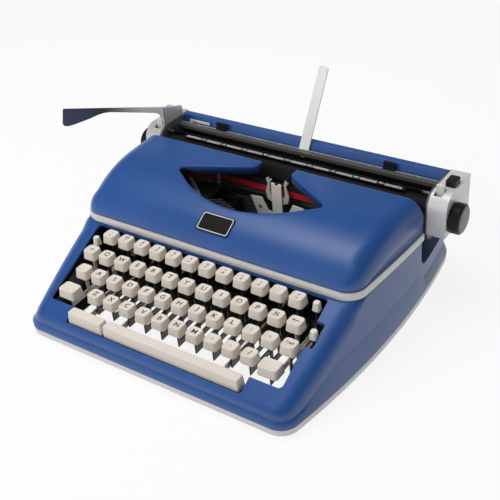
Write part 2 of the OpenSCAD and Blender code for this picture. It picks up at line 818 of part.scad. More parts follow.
// Type basket: x across, bars lying forward from the segment, z along the strike line
module in_basket() {
    translate([print_x, seg_y, seg_z]) rotate([-basket_tilt, 0, 0]) children();
}
function bar_angle(i) = fan * (i / (bars - 1) - 0.5);
module segment() {
    low = seg_z + seg_top - seg_t;
    color("silver") set_on_table() difference() {
        union() {
            in_basket() difference() {
                rod_z(0, 0, seg_top - seg_t, seg_top, 2 * (pivot_r + 10));
                rod_z(0, 0, seg_top - seg_t - 1, seg_top + 1, 2 * (pivot_r - 8));
                box(-far, far, 0, far, -far, far);
            }
            on_carriage() both_hands()
                box(pivot_r - 4, post_x + 5, seg_y - 6, post_y + 5, low, low + seg_t);
        }
        in_basket() for (i = [0:bars - 1]) rotate([0, 0, bar_angle(i)])
            box(-bar_t / 2 - 0.1, bar_t / 2 + 0.1, -pivot_r - 12, -pivot_r + 3.5, seg_top - 5, seg_top + 3);
        on_carriage() both_hands() rod_z(post_x, post_y, 0, frame_z, post_d + 2 * fit);
    }
}
module typebars() {
    color("silver") set_on_table() in_basket() for (i = [0:bars - 1]) rotate([0, 0, bar_angle(i)]) {
        along_x(-bar_t / 2, bar_t / 2) polygon([
            [3 - pivot_r, 1.6], [3 - pivot_r, -6.5], [-pivot_r - 6, -6.5], [-pivot_r - 10, -1.6],
            [-slug_r, -1.6], [-slug_r, 1.6]]);
        box(-slug_w / 2, slug_w / 2, -slug_r - 1.5, -slug_r + 1.5, -3.5, 3.5);
    }
}
module type_guide() {
    wing = [[8, 20], [8, 46], [12, 50], [24, 50.5], [31, 69.5], [18, 70.5], [11, 57], [5.7, 56],
        [5.7, 90], [2, 90], [1.2, 87.5]];
    color("ivory") set_on_table() on_carriage() {
        along_y(guide_y, guide_y + guide_t) polygon(both_sides(wing));
        box(-8, 8, brace_y + brace_t, guide_y + guide_t / 2, 20, brace_z1);
    }
}
module ribbon_vibrator() {
    arm = [[4, 50], [4, 66], [12, 70], [13.5, 78], [10.5, 88], [12.5, 93], [9.5, 95], [8, 90.5],
        [9, 80], [7, 74.5]];
    hook_z = ribbon_z + ribbon_w + 0.8;
    color("lightgray") set_on_table() on_carriage() {
        along_y(vib_y, vib_y + vib_t) polygon(both_sides(arm));
        both_hands() box(8.5, 10.8, vib_y, ribbon_y + 1.2, hook_z, hook_z + 1.2);
    }
}
module ribbon() {
    r = wound_d / 2 + gap / 2;
    a = [r * cos(112) - spool_x, spool_y + r * sin(112)];
    front = [a, [-guide_post_x, ribbon_y], [guide_post_x, ribbon_y], [-a.x, a.y]];
    back = [for (i = [3:-1:0]) front[i] + [0, ribbon_t]];
    color([0.67, 0.06, 0.08]) set_on_table() on_carriage()
        along_z(ribbon_z, ribbon_z + ribbon_w) polygon(concat(front, back));
}
// Path of the spring from peg to peg: straight legs on its axis and turns of radius spring_r between
spring_axis = (spring_b - spring_a) / norm(spring_b - spring_a);
spring_run = norm(spring_b - spring_a) - 2 * spring_leg;
function spring_out(a) = [-spring_axis.y * sin(a), spring_axis.x * sin(a), cos(a)];
function spring_at(s, r, a) = [each spring_a + s * spring_axis, spring_z] + r * spring_out(a);
spring_n = 8 * spring_turns;
spring_path = concat(
    [spring_at(0, 0, 0)],
    [for (i = [0:spring_n]) let(u = i / spring_n)
        spring_at(spring_leg + u * spring_run, spring_r * min(1, min(u, 1 - u) * spring_turns), 45 * i)],
    [spring_at(spring_run + 2 * spring_leg, 0, 0)]);
spring_gap = min([for (i = [0:spring_n - 5], j = [i + 5:spring_n + 2])
    norm(spring_path[i] - spring_path[j])]) - spring_wire;
echo(spring_gap = spring_gap);
function spring_ring(i) = let(
    last = spring_n + 2,
    t = spring_path[min(last, i + 1)] - spring_path[max(0, i - 1)],
    u = cross(t, spring_out(45 * (i - 1))),
    e = u / norm(u),
    g = cross(e, t) / norm(t))
    [for (k = [0:5]) spring_path[i] + spring_wire / 2 * (cos(60 * k) * g + sin(60 * k) * e)];
module spool_plates() {
    outer = frame_x + frame_t;
    rear = hinge_y + 4;
    color("gray") set_on_table() {
        for (s = [-1, 1]) {
            inner = print_x + s * plate_edge;
            lug = s * (frame_x - 1);
            y0 = spool_y - spool_d / 2 - 3;
            box(min(s * outer, inner), max(s * outer, inner), y0, rear - 12.5, frame_z, spool_z);
            box(min(lug, inner), max(lug, inner), rear - 16, rear, frame_z, spool_z);
        }
        on_carriage() both_hands() {
            rod_z(spool_x, spool_y, spool_z, spool_z + 21, spindle_d);
            rod_z(guide_post_x, post_y + 1.5, spool_z, ribbon_z + ribbon_w + 3, 3.6);
        }
        for (p = [spring_a, spring_b]) rod_z(p.x, p.y, frame_z, spring_z + 1.6, peg_d);
        loft([for (i = [0:spring_n + 2]) spring_ring(i)]);
    }
}
module spool(x) {
    low = spool_z + gap;
    top = ribbon_z + ribbon_w + 1.5;
    color("dimgray") set_on_table() on_carriage() difference() {
        union() {
            rod_z(x, spool_y, low, low + 1.2, spool_d);
            rod_z(x, spool_y, low, top + 1.2, 14);
            rod_z(x, spool_y, ribbon_z, ribbon_z + ribbon_w, wound_d);
            rod_z(x, spool_y, top, top + 1.2, spool_d);
        }
        rod_z(x, spool_y, low - 1, top + 3, spindle_d + 2 * fit);
        translate([x, spool_y, 0]) for (a = [0:60:300])
            rod_z(0.38 * spool_d * cos(a), 0.38 * spool_d * sin(a), top - 1, top + 3, 7);
    }
}
module left_spool() { spool(-spool_x); }
module right_spool() { spool(spool_x); }

// Carriage: stations across are measured from the printing point
module end_profile(t, z0) {
    y0 = end_y0 + end_r;
    translate([y0, end_z1 - end_r]) circle(r = end_r - t);
    translate([end_y0 + t, z0]) square([end_r, end_z1 - end_r - z0]);
    translate([y0, z0]) square([end_y1 - t - y0, end_z1 - t - z0]);
}
module carriage_frame() {
    lip = 2;
    color("gray") set_on_table() on_carriage() {
        box(-end_in, end_in, bed_y0, tray_y1, tray_z, tray_z + tray_t);
        for (y = [bed_y0, bed_y1]) box(-end_in, end_in, y, y + bed_w, bed_z + gap, tray_z);
        for (y = [bed_y0 + bed_w + gap, bed_y1 - gap - lip])
            box(-end_in, end_in, y, y + lip, bed_z - 4, tray_z);
        both_hands() {
            along_x(side_in, end_in) difference() {
                union() {
                    end_profile(0.6, end_z0);
                    translate([bed_y0, tray_z]) square([tray_y1 - bed_y0, end_z0 - tray_z + 1]);
                }
                disc(platen_y, platen_z, axle_d + 2 * fit);
                disc(roller_y, roller_z, roller_j + 2 * fit);
            }
            rod_x(side_in - 1.4, side_in + 1, bail_y, bail_z, bail_pin);
            rod_x(end_in - 1, end_in + release_w + 4, release_y, release_z, release_pin);
        }
    }
}
module escapement_rack() {
    pitch = PI * rack_m;
    n = floor((carriage_travel + rack_run - 2) / pitch);
    z = bed_z - 2;
    teeth = [for (i = [-n:n]) let(x = i * pitch) each [
        [x - 1.19 * rack_m, z + 1.25 * rack_m], [x - 0.37 * rack_m, z - rack_m],
        [x + 0.37 * rack_m, z - rack_m], [x + 1.19 * rack_m, z + 1.25 * rack_m]]];
    end = carriage_travel + rack_run;
    color("silver") set_on_table() on_carriage() along_y(rack_y, rack_y + 3)
        polygon(concat(
            [[-end, tray_z], [-end, z + 1.25 * rack_m]], teeth, [[end, z + 1.25 * rack_m], [end, tray_z]]));
}
module escapement_pinion() {
    teeth = [for (i = [0:pinion_n - 1]) let(a = 90 + (i + 0.5) * 360 / pinion_n, r = pinion_r) each [
        (r - 1.4 * rack_m) * [cos(a - 7), sin(a - 7)], (r + rack_m) * [cos(a - 1.6), sin(a - 1.6)],
        (r + rack_m) * [cos(a + 1.6), sin(a + 1.6)], (r - 1.4 * rack_m) * [cos(a + 7), sin(a + 7)]]];
    y = rack_y + 0.3;
    color("gold") set_on_table() {
        along_y(y, y + pinion_w) translate([print_x, pinion_z]) polygon(teeth);
        rod_y(min(y, back_y), max(y + pinion_w, back_y + 2), print_x, pinion_z, pinion_pin);
    }
}
module mainspring_drum() {
    color("gray") set_on_table() {
        rod_y(back_y - 22, back_y - 8, drum_x, drum_z, 2 * drum_r);
        rod_y(back_y - 24, back_y - 20, drum_x, drum_z, 2 * drum_r + 3);
        rod_y(back_y - 10, back_y + 2, drum_x, drum_z, pinion_pin);
    }
}
module end_cover() {
    tab = end_in + 3;
    difference() {
        along_x(end_in, end_out) end_profile(0, end_z0);
        along_x(end_in - 1, end_out - end_t) end_profile(end_t, end_z0 - 1);
        rod_x(end_in - 1, end_out + 1, platen_y, platen_z, axle_d + 4);
        box(tab - 0.5, tab + release_w + 0.5, release_y - 6, release_y + 6, release_z, end_z1 + 1);
    }
}
module left_end_cover() {
    color("silver") set_on_table() on_carriage() {
        mirror([1, 0, 0]) end_cover();
        rod_z(lever_x, lever_y, end_z1 - end_t / 2, lever_top, lever_pin);
    }
}
module right_end_cover() {
    color("silver") set_on_table() on_carriage() difference() {
        end_cover();
        box(catch_x - 2, catch_x + 2, catch_y - 4, catch_y + 12, end_z1 - 3, end_z1 + 1);
    }
}
module paper_release() {
    color("ivory") set_on_table() on_carriage() {
        along_z(end_z1 + gap, end_z1 + 5.3)
            rounded(catch_x - 4.7, catch_x + 4.7, catch_y - 6.8, catch_y + 6.8, 1.5);
        box(catch_x - 1.5, catch_x + 1.5, catch_y - 2.5, catch_y + 2.5, end_z1 - 6, end_z1 + 1);
    }
}
// The paper table's front face leans back; its frame has y up the face and z out of it
function face_at(z) = face_y - (end_z1 - z) * tan(support_lean);
module table_frame() {
    translate([support_x, face_at(support_z), support_z]) rotate([90 - support_lean, 0, 0]) children();
}
module paper_table() {
    t = table_t;
    z1 = end_z1;
    back = tray_y1 + t;
    low = 92;
    color([0.13, 0.33, 0.59]) set_on_table() {
        on_carriage() along_x(-side_in, side_in) polygon([
            [face_at(low), low], [face_at(z1 - 1), z1 - 1], [face_y + 0.7, z1], [back - 1.5, z1],
            [back, z1 - 1.5], [back, tray_z], [back - t, tray_z], [back - t, z1 - 2],
            [back - 2, z1 - t], [face_y + 1.6, z1 - t], [face_at(low) + t, low]]);
        table_frame() translate([0, 0, -1]) cylinder(d = support_pin, h = 1 + gap + support_t);
    }
}
module paper_support() {
    w0 = support_w0 / 2;
    w1 = support_w1 / 2;
    color("whitesmoke") set_on_table() table_frame() rotate(-support_tilt)
        translate([0, 0, gap]) linear_extrude(support_t) difference() {
            union() {
                circle(r = w0);
                polygon([[-w0, 0], [w0, 0], [w1, support_l - 1], [w1 - 1, support_l], [1 - w1, support_l],
                    [-w1, support_l - 1]]);
            }
            circle(d = support_pin + 2 * fit);
        }
}
module paper_guide() {
    x1 = guide_x + guide_w;
    y1 = face_at(rail_z0) - gap;
    color("silver") set_on_table() along_y(y1 - 0.8, y1) polygon([
        [guide_x, rail_z0], [guide_x + 2.5, rail_z0], [guide_x + 2.5, rail_z1 + 1], [x1, rail_z1 + 1],
        [x1, rail_z1 + 3.6], [guide_x, rail_z1 + 3.6]]);
}
module margin_rail() {
    color("dimgray") set_on_table() on_carriage() box(-side_in, side_in, rail_y0, rail_y1, rail_z0, rail_z1);
}
module margin_stop(x) {
    y1 = face_at(rail_z0) - 1;
    color("black") set_on_table() along_x(x - stop_w / 2, x + stop_w / 2) polygon([
        [rail_y1 - 2, rail_z1 + gap], [rail_y1 + gap, rail_z1 + gap], [rail_y1 + gap, rail_z0 + 1],
        [y1, rail_z0 + 1], [y1 + 0.6, rail_z1 + 7.5], [rail_y1 - 0.8, rail_z1 + 7.5]]);
}
module left_margin_stop() { margin_stop(stop_x[0]); }
module right_margin_stop() { margin_stop(stop_x[1]); }
module paper_pan() {
    c = [platen_y, platen_z];
    r = platen_d / 2 + 1;
    color("gray") set_on_table() on_carriage() along_x(-side_in, side_in)
        polygon(concat(arc(c, r, 205, 295, 12), arc(c, r + 0.8, 295, 205, 12)));
}
module platen() {
    color("black") set_on_table() on_carriage() difference() {
        rod_x(-platen_l / 2, platen_l / 2, platen_y, platen_z, platen_d);
        rod_x(-platen_l, platen_l, platen_y, platen_z, platen_d - 2 * rubber_t);
    }
}
function ratchet_teeth(n, r, h) = [for (i = [0:n - 1]) let(a = i * 360 / n)
    each [r * [cos(a), sin(a)], (r - h) * [cos(a + 3), sin(a + 3)]]];
module platen_core() {
    color("gray") set_on_table() on_carriage() {
        rod_x(-platen_l / 2, platen_l / 2, platen_y, platen_z, platen_d - 2 * rubber_t - 2 * fit);
        rod_x(-knob_x - knob_w, knob_x + knob_w, platen_y, platen_z, axle_d);
        along_x(-end_in - 5, -end_in - 2) translate([platen_y, platen_z]) polygon(ratchet_teeth(30, 11, 1.4));
    }
}
module platen_knobs() {
    r = knob_d / 2;
    b = axle_d / 2 + fit;
    color("black") set_on_table() on_carriage() both_hands()
        translate([knob_x, platen_y, platen_z]) rotate([0, 90, 0]) rotate_extrude()
            polygon([[b, 0], [r - 1, 0], [r, 1], [r, knob_w - 1.4], [r - 1.4, knob_w], [b, knob_w]]);
}
module feed_roller() {
    color("dimgray") set_on_table() on_carriage() {
        rod_x(1.2 - side_in, side_in - 1.2, roller_y, roller_z, roller_d);
        rod_x(-end_in, end_in, roller_y, roller_z, roller_j);
    }
}
module paper_bail() {
    rod_r = bail_r + 0.7;
    rod = [platen_y + rod_r * cos(bail_a - 7), platen_z + rod_r * sin(bail_a - 7)];
    piv = [bail_y, bail_z];
    u = (rod - piv) / norm(rod - piv);
    n = 2 * [-u.y, u.x];
    inner = side_in - 1.3;
    outer = side_in - 0.4;
    color("silver") set_on_table() on_carriage() {
        translate([0, platen_y, platen_z]) rotate([bail_a - 90, 0, 0]) translate([0, 0, bail_r])
            box(-bail_half, bail_half, -2.8, 2.8, 0, 1.2);
        rod_x(-outer, outer, rod.x, rod.y, 3.4);
        both_hands() along_x(inner, outer) difference() {
            union() {
                polygon([piv + n, piv - n, rod - n, rod + n]);
                translate(piv) circle(r = 2.8);
                translate(rod) circle(r = 2);
            }
            translate(piv) circle(d = bail_pin + 2 * fit);
        }
    }
}
module return_lever() {
    z = end_z1 + gap;
    l = return_l;
    t = blade_t / 2;
    throat = [for (a = [90 : 15 : 180]) [10 + 9.2 * cos(a), 6 + 9.2 * sin(a)]];
    color("silver") set_on_table() on_carriage() translate([lever_x, lever_y, z]) difference() {
        union() {
            along_z(0, 8.4) rounded(-7.5, fold_x, -10, hub_y - 1, 2);
            along_x(fold_x - t, fold_x + t)
                polygon([[-fold_y, 0.2], [-fold_y, blade_rise - 0.4], [hub_y, blade_rise / 2], [hub_y, 0.2]]);
            rod_z(fold_x, -fold_y, 0, blade_rise + 0.3, blade_t + 0.6);
            translate([fold_x, -fold_y, 0]) rotate([0, 0, 180 + return_a]) along_y(-t, t) polygon(concat(
                [[0, 0.4], [0, blade_rise], [l - 3.5, blade_rise], [l, 4.5], [l - 1, 2.2], [l - 3.5, 1.2],
                [l - 7, 1.6], [l - 13, 3.2], [l - 31.5, 9.8], [l - 41, 13.9], [l - 48, 16.1], [l - 55, 17]],
                throat, [[0.8, 0.4]]));
        }
        rod_z(0, 0, -1, 20, lever_pin + 2 * fit);
    }
}
module carriage_releases() {
    tab = end_in + 3;
    color("ivory") set_on_table() on_carriage() both_hands() difference() {
        union() {
            rod_x(tab, tab + release_w, release_y, release_z, release_pin + 4);
            box(tab, tab + release_w, release_y - 1.5, release_y + 1.5, release_z, end_z1 + 6);
        }
        rod_x(tab - 1, tab + release_w + 1, release_y, release_z, release_pin + 2 * fit);
    }
}

bottom_pan();
rubber_feet();
body_shell();
trim_band();
ribbon_cover();
badge_plate();
left_side_frame();
right_side_frame();
cross_braces();
bed_rails();
cover_hinge_pins();
key_shaft();
key_comb();
number_row_keys();
number_row_levers();
top_row_keys();
top_row_levers();
home_row_keys();
home_row_levers();
bottom_row_keys();
bottom_row_levers();
margin_release_key();
backspace_key();
shift_lock_key();
tab_key();
shift_keys();
space_bar();
repeat_bar();
ribbon_selector();
touch_lever();
ribbon_reverse_lever();
segment();
typebars();
type_guide();
ribbon_vibrator();
ribbon();
spool_plates();
left_spool();
right_spool();
carriage_frame();
escapement_rack();
escapement_pinion();
mainspring_drum();
left_end_cover();
right_end_cover();
paper_table();
margin_rail();
paper_pan();
left_margin_stop();
right_margin_stop();
platen();
platen_core();
platen_knobs();
feed_roller();
paper_bail();
paper_support();
return_lever();
carriage_releases();
paper_release();
paper_guide();
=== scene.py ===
# %% [markdown]
# A portable manual typewriter, dressed for its portrait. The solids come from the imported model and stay
# where they are; this lesson gives them finishes and adds the smooth or printed pieces on top.

# %% Load the frame
import math

import bpy
import numpy as np
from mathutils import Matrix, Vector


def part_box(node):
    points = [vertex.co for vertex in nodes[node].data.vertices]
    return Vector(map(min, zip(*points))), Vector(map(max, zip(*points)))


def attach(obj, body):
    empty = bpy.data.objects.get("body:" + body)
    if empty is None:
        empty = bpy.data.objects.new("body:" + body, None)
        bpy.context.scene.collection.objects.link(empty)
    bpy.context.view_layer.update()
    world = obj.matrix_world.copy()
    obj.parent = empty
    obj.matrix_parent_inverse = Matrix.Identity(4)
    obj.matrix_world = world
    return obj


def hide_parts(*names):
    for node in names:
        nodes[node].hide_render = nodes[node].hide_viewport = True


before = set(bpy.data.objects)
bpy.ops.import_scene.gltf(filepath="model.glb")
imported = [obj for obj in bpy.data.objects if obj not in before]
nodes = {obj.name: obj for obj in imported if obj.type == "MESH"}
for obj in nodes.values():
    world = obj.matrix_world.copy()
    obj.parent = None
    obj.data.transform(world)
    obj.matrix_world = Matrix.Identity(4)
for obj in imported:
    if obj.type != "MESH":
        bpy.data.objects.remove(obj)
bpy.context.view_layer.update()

print("solids loaded:", len(nodes))

# %% [markdown]
# The maker's drawing counts stations in millimetres: x from the middle of the base, y from its front
# edge, z from the underside of its rim. One function turns stations into metres of the shared frame, so
# every size below can be compared with a ruler on the real machine.

# %% Stations
pan_low, pan_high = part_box("bottom_pan")
ORIGIN = np.array([(pan_low.x + pan_high.x) / 2, pan_low.y, pan_low.z])


def at(stations):
    """Stations in millimetres to metres in the frame: divide by 1000 and add the base's origin."""
    return np.asarray(stations, float) / 1000 + ORIGIN


print("origin of the stations, m:", ORIGIN.round(4))

# %% [markdown]
# The camera is the photographer's: its place and turn were solved from the rows of keys and the edges
# of the body. A constraint could aim it at the machine, but the picture is also rolled a little, so its
# directions are worked out from yaw, pitch and roll and written into its matrix. The lens follows from
# the picture's focal length.

# %% Camera
VIEW_PLACE = (419.16, -396.88, 512.82)
VIEW_YAW, VIEW_PITCH, VIEW_ROLL = (math.radians(a) for a in (-36.481, 34.140, -5.167))
PICTURE_FOCAL, PICTURE_SIZE, SENSOR = 865.95, 500, 36
FAR_CLIP = 50


def placed(name, data):
    """A new object with that data, linked to the scene."""
    made = bpy.data.objects.new(name, data)
    bpy.context.scene.collection.objects.link(made)
    return made


def stand(thing, right, up, back, place):
    """Puts a camera or lamp at a station, with its own x, y and z along those three directions."""
    pose = np.eye(4)
    pose[:3, 0], pose[:3, 1], pose[:3, 2], pose[:3, 3] = right, up, back, at(place)
    thing.matrix_world = [list(column) for column in pose.T]


look = np.array([
    math.sin(VIEW_YAW) * math.cos(VIEW_PITCH),
    math.cos(VIEW_YAW) * math.cos(VIEW_PITCH),
    -math.sin(VIEW_PITCH)])
level = np.array([math.cos(VIEW_YAW), -math.sin(VIEW_YAW), 0.0])
upright = np.cross(level, look)
view_right = math.cos(VIEW_ROLL) * level + math.sin(VIEW_ROLL) * upright
view_up = math.cos(VIEW_ROLL) * upright - math.sin(VIEW_ROLL) * level

camera_data = bpy.data.cameras.new("camera")
camera_data.sensor_width = SENSOR
camera_data.lens = PICTURE_FOCAL / PICTURE_SIZE * SENSOR
camera_data.clip_end = FAR_CLIP
camera = placed("camera", camera_data)
stand(camera, view_right, view_up, -look, VIEW_PLACE)
bpy.context.scene.camera = camera
print("lens, mm:", round(camera_data.lens, 2))

# %% [markdown]
# Finishes are node trees. Written node by node they are long, so one small class wraps a socket:
# arithmetic on it adds Math nodes, and one method adds any other node with its settings and sockets.
# Node groups could shorten them too, but expressions can be read like the formulas they are.

# %% Shader arithmetic
class Shade:
    """A socket in a material's tree; operators on it add Math nodes to the same tree."""

    def __init__(self, tree, socket=None):
        self.tree = tree
        self.socket = socket

    def node(self, kind, settings=None, sockets=None, out=0):
        """Adds a node of that kind: settings first, then values or links of its sockets."""
        made = self.tree.nodes.new(kind)
        for name, value in (settings or {}).items():
            if name == "stops":
                for i, (place, colour) in enumerate(value):
                    spots = made.color_ramp.elements
                    spot = spots[i] if i < 2 else spots.new(place)
                    spot.position = place
                    spot.color = colour
            else:
                setattr(made, name, value)
        for name, value in (sockets or {}).items():
            if isinstance(value, Shade):
                self.tree.links.new(value.socket, made.inputs[name])
            else:
                made.inputs[name].default_value = value
        return Shade(self.tree, made.outputs[out] if made.outputs else None)

    def maths(self, operation, first, second=0.0):
        """A Math node of that operation on two values."""
        return self.node("ShaderNodeMath", {"operation": operation}, {0: first, 1: second})

    def __add__(self, other):
        return self.maths("ADD", self, other)

    __radd__ = __add__

    def __sub__(self, other):
        return self.maths("SUBTRACT", self, other)

    def __rsub__(self, other):
        return self.maths("SUBTRACT", other, self)

    def __mul__(self, other):
        return self.maths("MULTIPLY", self, other)

    __rmul__ = __mul__

    def __truediv__(self, other):
        return self.maths("DIVIDE", self, other)

    def __mod__(self, other):
        return self.maths("FLOORED_MODULO", self, other)

    def __lt__(self, other):
        return self.maths("LESS_THAN", self, other)

    def __gt__(self, other):
        return self.maths("GREATER_THAN", self, other)

    def mix(self, first, second):
        """Colour between first and second, by this value."""
        return self.node("ShaderNodeMix", {"data_type": "RGBA"}, {0: self, 6: first, 7: second}, out=2)


print("shader class ready")

# %% [markdown]
# Every finish starts alike. Colours are given as screen values, a Principled shader takes what is
# uniform, and soft noise, rounded edges and bumps each have a short function, so that a finish further
# down is a few lines about the material alone.

# %% Helpers for finishes
def srgb(red, green, blue):
    """A screen colour, 0 to 255, as the linear values that a shader works with."""
    share = np.array([red, green, blue]) / 255
    linear = np.where(share <= 0.04045, share / 12.92, ((share + 0.055) / 1.055) ** 2.4)
    return (*linear.tolist(), 1.0)


def finish(name, sockets):
    """A new material: its Principled shader with those uniform values, ready for what varies."""
    material = bpy.data.materials.new(name)
    material.use_nodes = True
    tree = material.node_tree
    shader = tree.nodes["Principled BSDF"]
    for socket, value in sockets.items():
        shader.inputs[socket].default_value = value
    return material, Shade(tree), shader


def feed(shade, shader, **values):
    """Links varying values to the shader's sockets, underscores standing for spaces."""
    for socket, value in values.items():
        shade.tree.links.new(value.socket, shader.inputs[socket.replace("_", " ")])


def own_place(shade):
    """The piece's own coordinates in metres, and their three parts."""
    place = shade.node("ShaderNodeTexCoord", out=3)
    split = shade.node("ShaderNodeSeparateXYZ", sockets={0: place})
    parts = [Shade(shade.tree, s) for s in split.socket.node.outputs]
    return place, parts


def cloudy(shade, place, scale, detail=3.0):
    """Soft noise from 0 to 1, scale being its patches per metre."""
    return shade.node("ShaderNodeTexNoise", sockets={
        "Vector": place, "Scale": scale, "Detail": detail, "Roughness": 0.55})


def softened(shade, radius):
    """A normal that rounds sharp edges by that radius in metres."""
    return shade.node("ShaderNodeBevel", {"samples": 4}, {"Radius": radius})


def grainy(shade, height, depth, strength, base=None):
    """A normal pushed by a height map of that depth in metres."""
    sockets = {"Height": height, "Distance": depth, "Strength": strength}
    if base is not None:
        sockets["Normal"] = base
    return shade.node("ShaderNodeBump", sockets=sockets)


def patched(colour, patch, parts):
    """The colour, or the patch's own one where its mask of x, y and z is 1."""
    if patch is None:
        return colour
    mask, other = patch
    return mask(*parts).mix(colour, other)


print("helpers ready")

# %% [markdown]
# The blue is a stoved enamel: satin, with the faint ripple that sprayed paint keeps and a tint that
# drifts a little from panel to panel. A Bevel modifier could round the edges, but the solids keep their
# shape, so a Bevel node rounds the normal instead, as paint rounds a pressed edge. The paper table's
# front below the margin rail is painted black, where a mask by place changes the colour: this is
# painted shade, for the dark slot behind the platen.

# %% Blue enamel
BLUE, BLUE_DEEP, TABLE_PAINTED_SHADE = srgb(34, 84, 152), srgb(27, 72, 138), srgb(20, 20, 22)
PAINT_DRIFT, PAINT_RIPPLE, RIPPLE_DEPTH, PAINT_EDGE = 14.0, 900.0, 0.0002, 0.0012
TABLE_Y, TABLE_Z, TABLE_LEAN, TABLE_STRIP_Z, TABLE_SKIN = 261.7, 95.7, 0.308, 101.0, 0.0006


def table_shade_strip(_, y, z):
    """1 on the paper table's leaning front face below the rail, where black painted shade goes, 0
    elsewhere.
    """
    _, face_y, face_z = at((0, TABLE_Y, TABLE_Z))
    behind = (y - face_y) - TABLE_LEAN * (z - face_z)
    return (behind < TABLE_SKIN) * (z < at((0, 0, TABLE_STRIP_Z))[2])


def blue_enamel(name, patch=None):
    """Satin paint: two blues mixed by slow noise, a fine ripple in the normal, and a patch if given."""
    material, shade, shader = finish(name, {"IOR": 1.5, "Specular IOR Level": 0.8})
    place, parts = own_place(shade)
    drift = cloudy(shade, place, PAINT_DRIFT)
    ripple = cloudy(shade, place, PAINT_RIPPLE, detail=1.0)
    normal = grainy(shade, ripple, RIPPLE_DEPTH, 0.05, softened(shade, PAINT_EDGE))
    colour = patched(drift.mix(BLUE_DEEP, BLUE), patch, parts)
    feed(shade, shader, Base_Color=colour, Roughness=0.3 + 0.08 * drift, Normal=normal)
    return material


blue_panel = blue_enamel("blue_enamel")
# Painted shade: the table's front below the rail is black, for the dark slot behind the platen.
table_enamel_painted_shade = blue_enamel("table_enamel_painted_shade", (table_shade_strip, TABLE_PAINTED_SHADE))
print("finishes:", blue_panel.name, table_enamel_painted_shade.name)

# %% [markdown]
# Bare, plated and painted metals differ in a few values only: two tints, the roughness, how metallic
# they are and how round their edges look. One function makes them all. Brushed metal could use an
# anisotropic shader; here noise drawn out along x varies the roughness and the normal, which can be
# baked for other programs. The base's floor between its silver rims is painted dark by a mask: partly
# the dark base such machines have, partly painted shade for the dim inside under the keys.

# %% Metals
PAN_LOW, PAN_HIGH, PAN_DARK_AND_SHADE = at((-140, 14, -1)), at((140, 288, 4)), srgb(34, 35, 36)
GRAIN, GRAIN_STRETCH, GRAIN_DEPTH, TARNISH = 6.0, (4.0, 260.0, 260.0), 0.0001, 30.0


def pan_floor_and_shade(*parts):
    """1 inside the box of the base's floor, between its rims, where it is painted dark, partly as shade; 0
    elsewhere.
    """
    x, y, z = (
        (part > float(low)) * (part < float(high)) for part, low, high in zip(parts, PAN_LOW, PAN_HIGH))
    return x * y * z


def metal(name, colour, dark, rough, metallic=1.0, edge=0.0004, patch=None):
    """A metal: two tints mixed by soft patches of tarnish, and a fine grain drawn out along x."""
    material, shade, shader = finish(name, {"Metallic": metallic})
    place, parts = own_place(shade)
    drawn = shade.node("ShaderNodeMapping", sockets={"Vector": place, "Scale": GRAIN_STRETCH})
    grain = cloudy(shade, drawn, GRAIN, detail=4.0)
    patches = cloudy(shade, place, TARNISH)
    normal = grainy(shade, grain, GRAIN_DEPTH, 0.06, softened(shade, edge))
    feed(shade, shader, Base_Color=patched(patches.mix(dark, colour), patch, parts),
         Roughness=rough + 0.12 * (grain - 0.5), Normal=normal)
    return material


SILVER = (srgb(216, 215, 213), srgb(202, 201, 199), 0.34, 0.35, 0.0007)
satin_silver = metal("satin_silver", *SILVER)
# Partly painted shade: the floor between the rims is dark both as a dark base and as the shade inside.
pan_silver_and_shade = metal("pan_silver_and_shade", *SILVER, patch=(pan_floor_and_shade, PAN_DARK_AND_SHADE))
# Painted highlight: a paler copy of the satin silver, its extra brightness standing for the light that the
# right end cover, the ribbon vibrator and the far typebar tails catch.
silver_painted_highlight = metal("silver_painted_highlight", srgb(232, 232, 231), srgb(222, 222, 221), 0.36, 0.25, 0.0007)
bright_steel = metal("bright_steel", srgb(200, 200, 202), srgb(160, 160, 164), 0.3)
dark_steel = metal("dark_steel", srgb(52, 54, 56), srgb(34, 36, 38), 0.42, 0.6)
lever_steel = metal("lever_steel", srgb(72, 78, 78), srgb(40, 44, 44), 0.36, 0.45, 0.0002)
grey_enamel = metal("grey_enamel", srgb(112, 114, 116), srgb(92, 94, 96), 0.45, 0.2)
turned_brass = metal("turned_brass", srgb(206, 176, 112), srgb(170, 138, 76), 0.28)
print("metals: 8")

# %% [markdown]
# Keys, knobs and rollers are moulded: plastics with a fine spark-eroded skin, rubber with a dull one. A
# picture of the skin could be wrapped round each piece, but noise in the piece's own coordinates needs
# no unwrapping and has the right scale on pieces of any size.

# %% Plastics and rubber
MOTTLE, PORE_DEPTH, MOULD_EDGE = 55.0, 0.0001, 0.0003


def moulded(name, colour, shadow, rough, skin=2600.0, depth=0.06, shine=0.5):
    """A moulding: two tints mixed by soft patches, and fine pores in its normal and its roughness."""
    material, shade, shader = finish(name, {"IOR": 1.49, "Specular IOR Level": shine})
    place, _ = own_place(shade)
    patches = cloudy(shade, place, MOTTLE)
    pores = cloudy(shade, place, skin, detail=2.0)
    normal = grainy(shade, pores, PORE_DEPTH, depth, softened(shade, MOULD_EDGE))
    feed(shade, shader, Base_Color=patches.mix(shadow, colour),
         Roughness=rough + 0.1 * (pores - 0.5), Normal=normal)
    return material


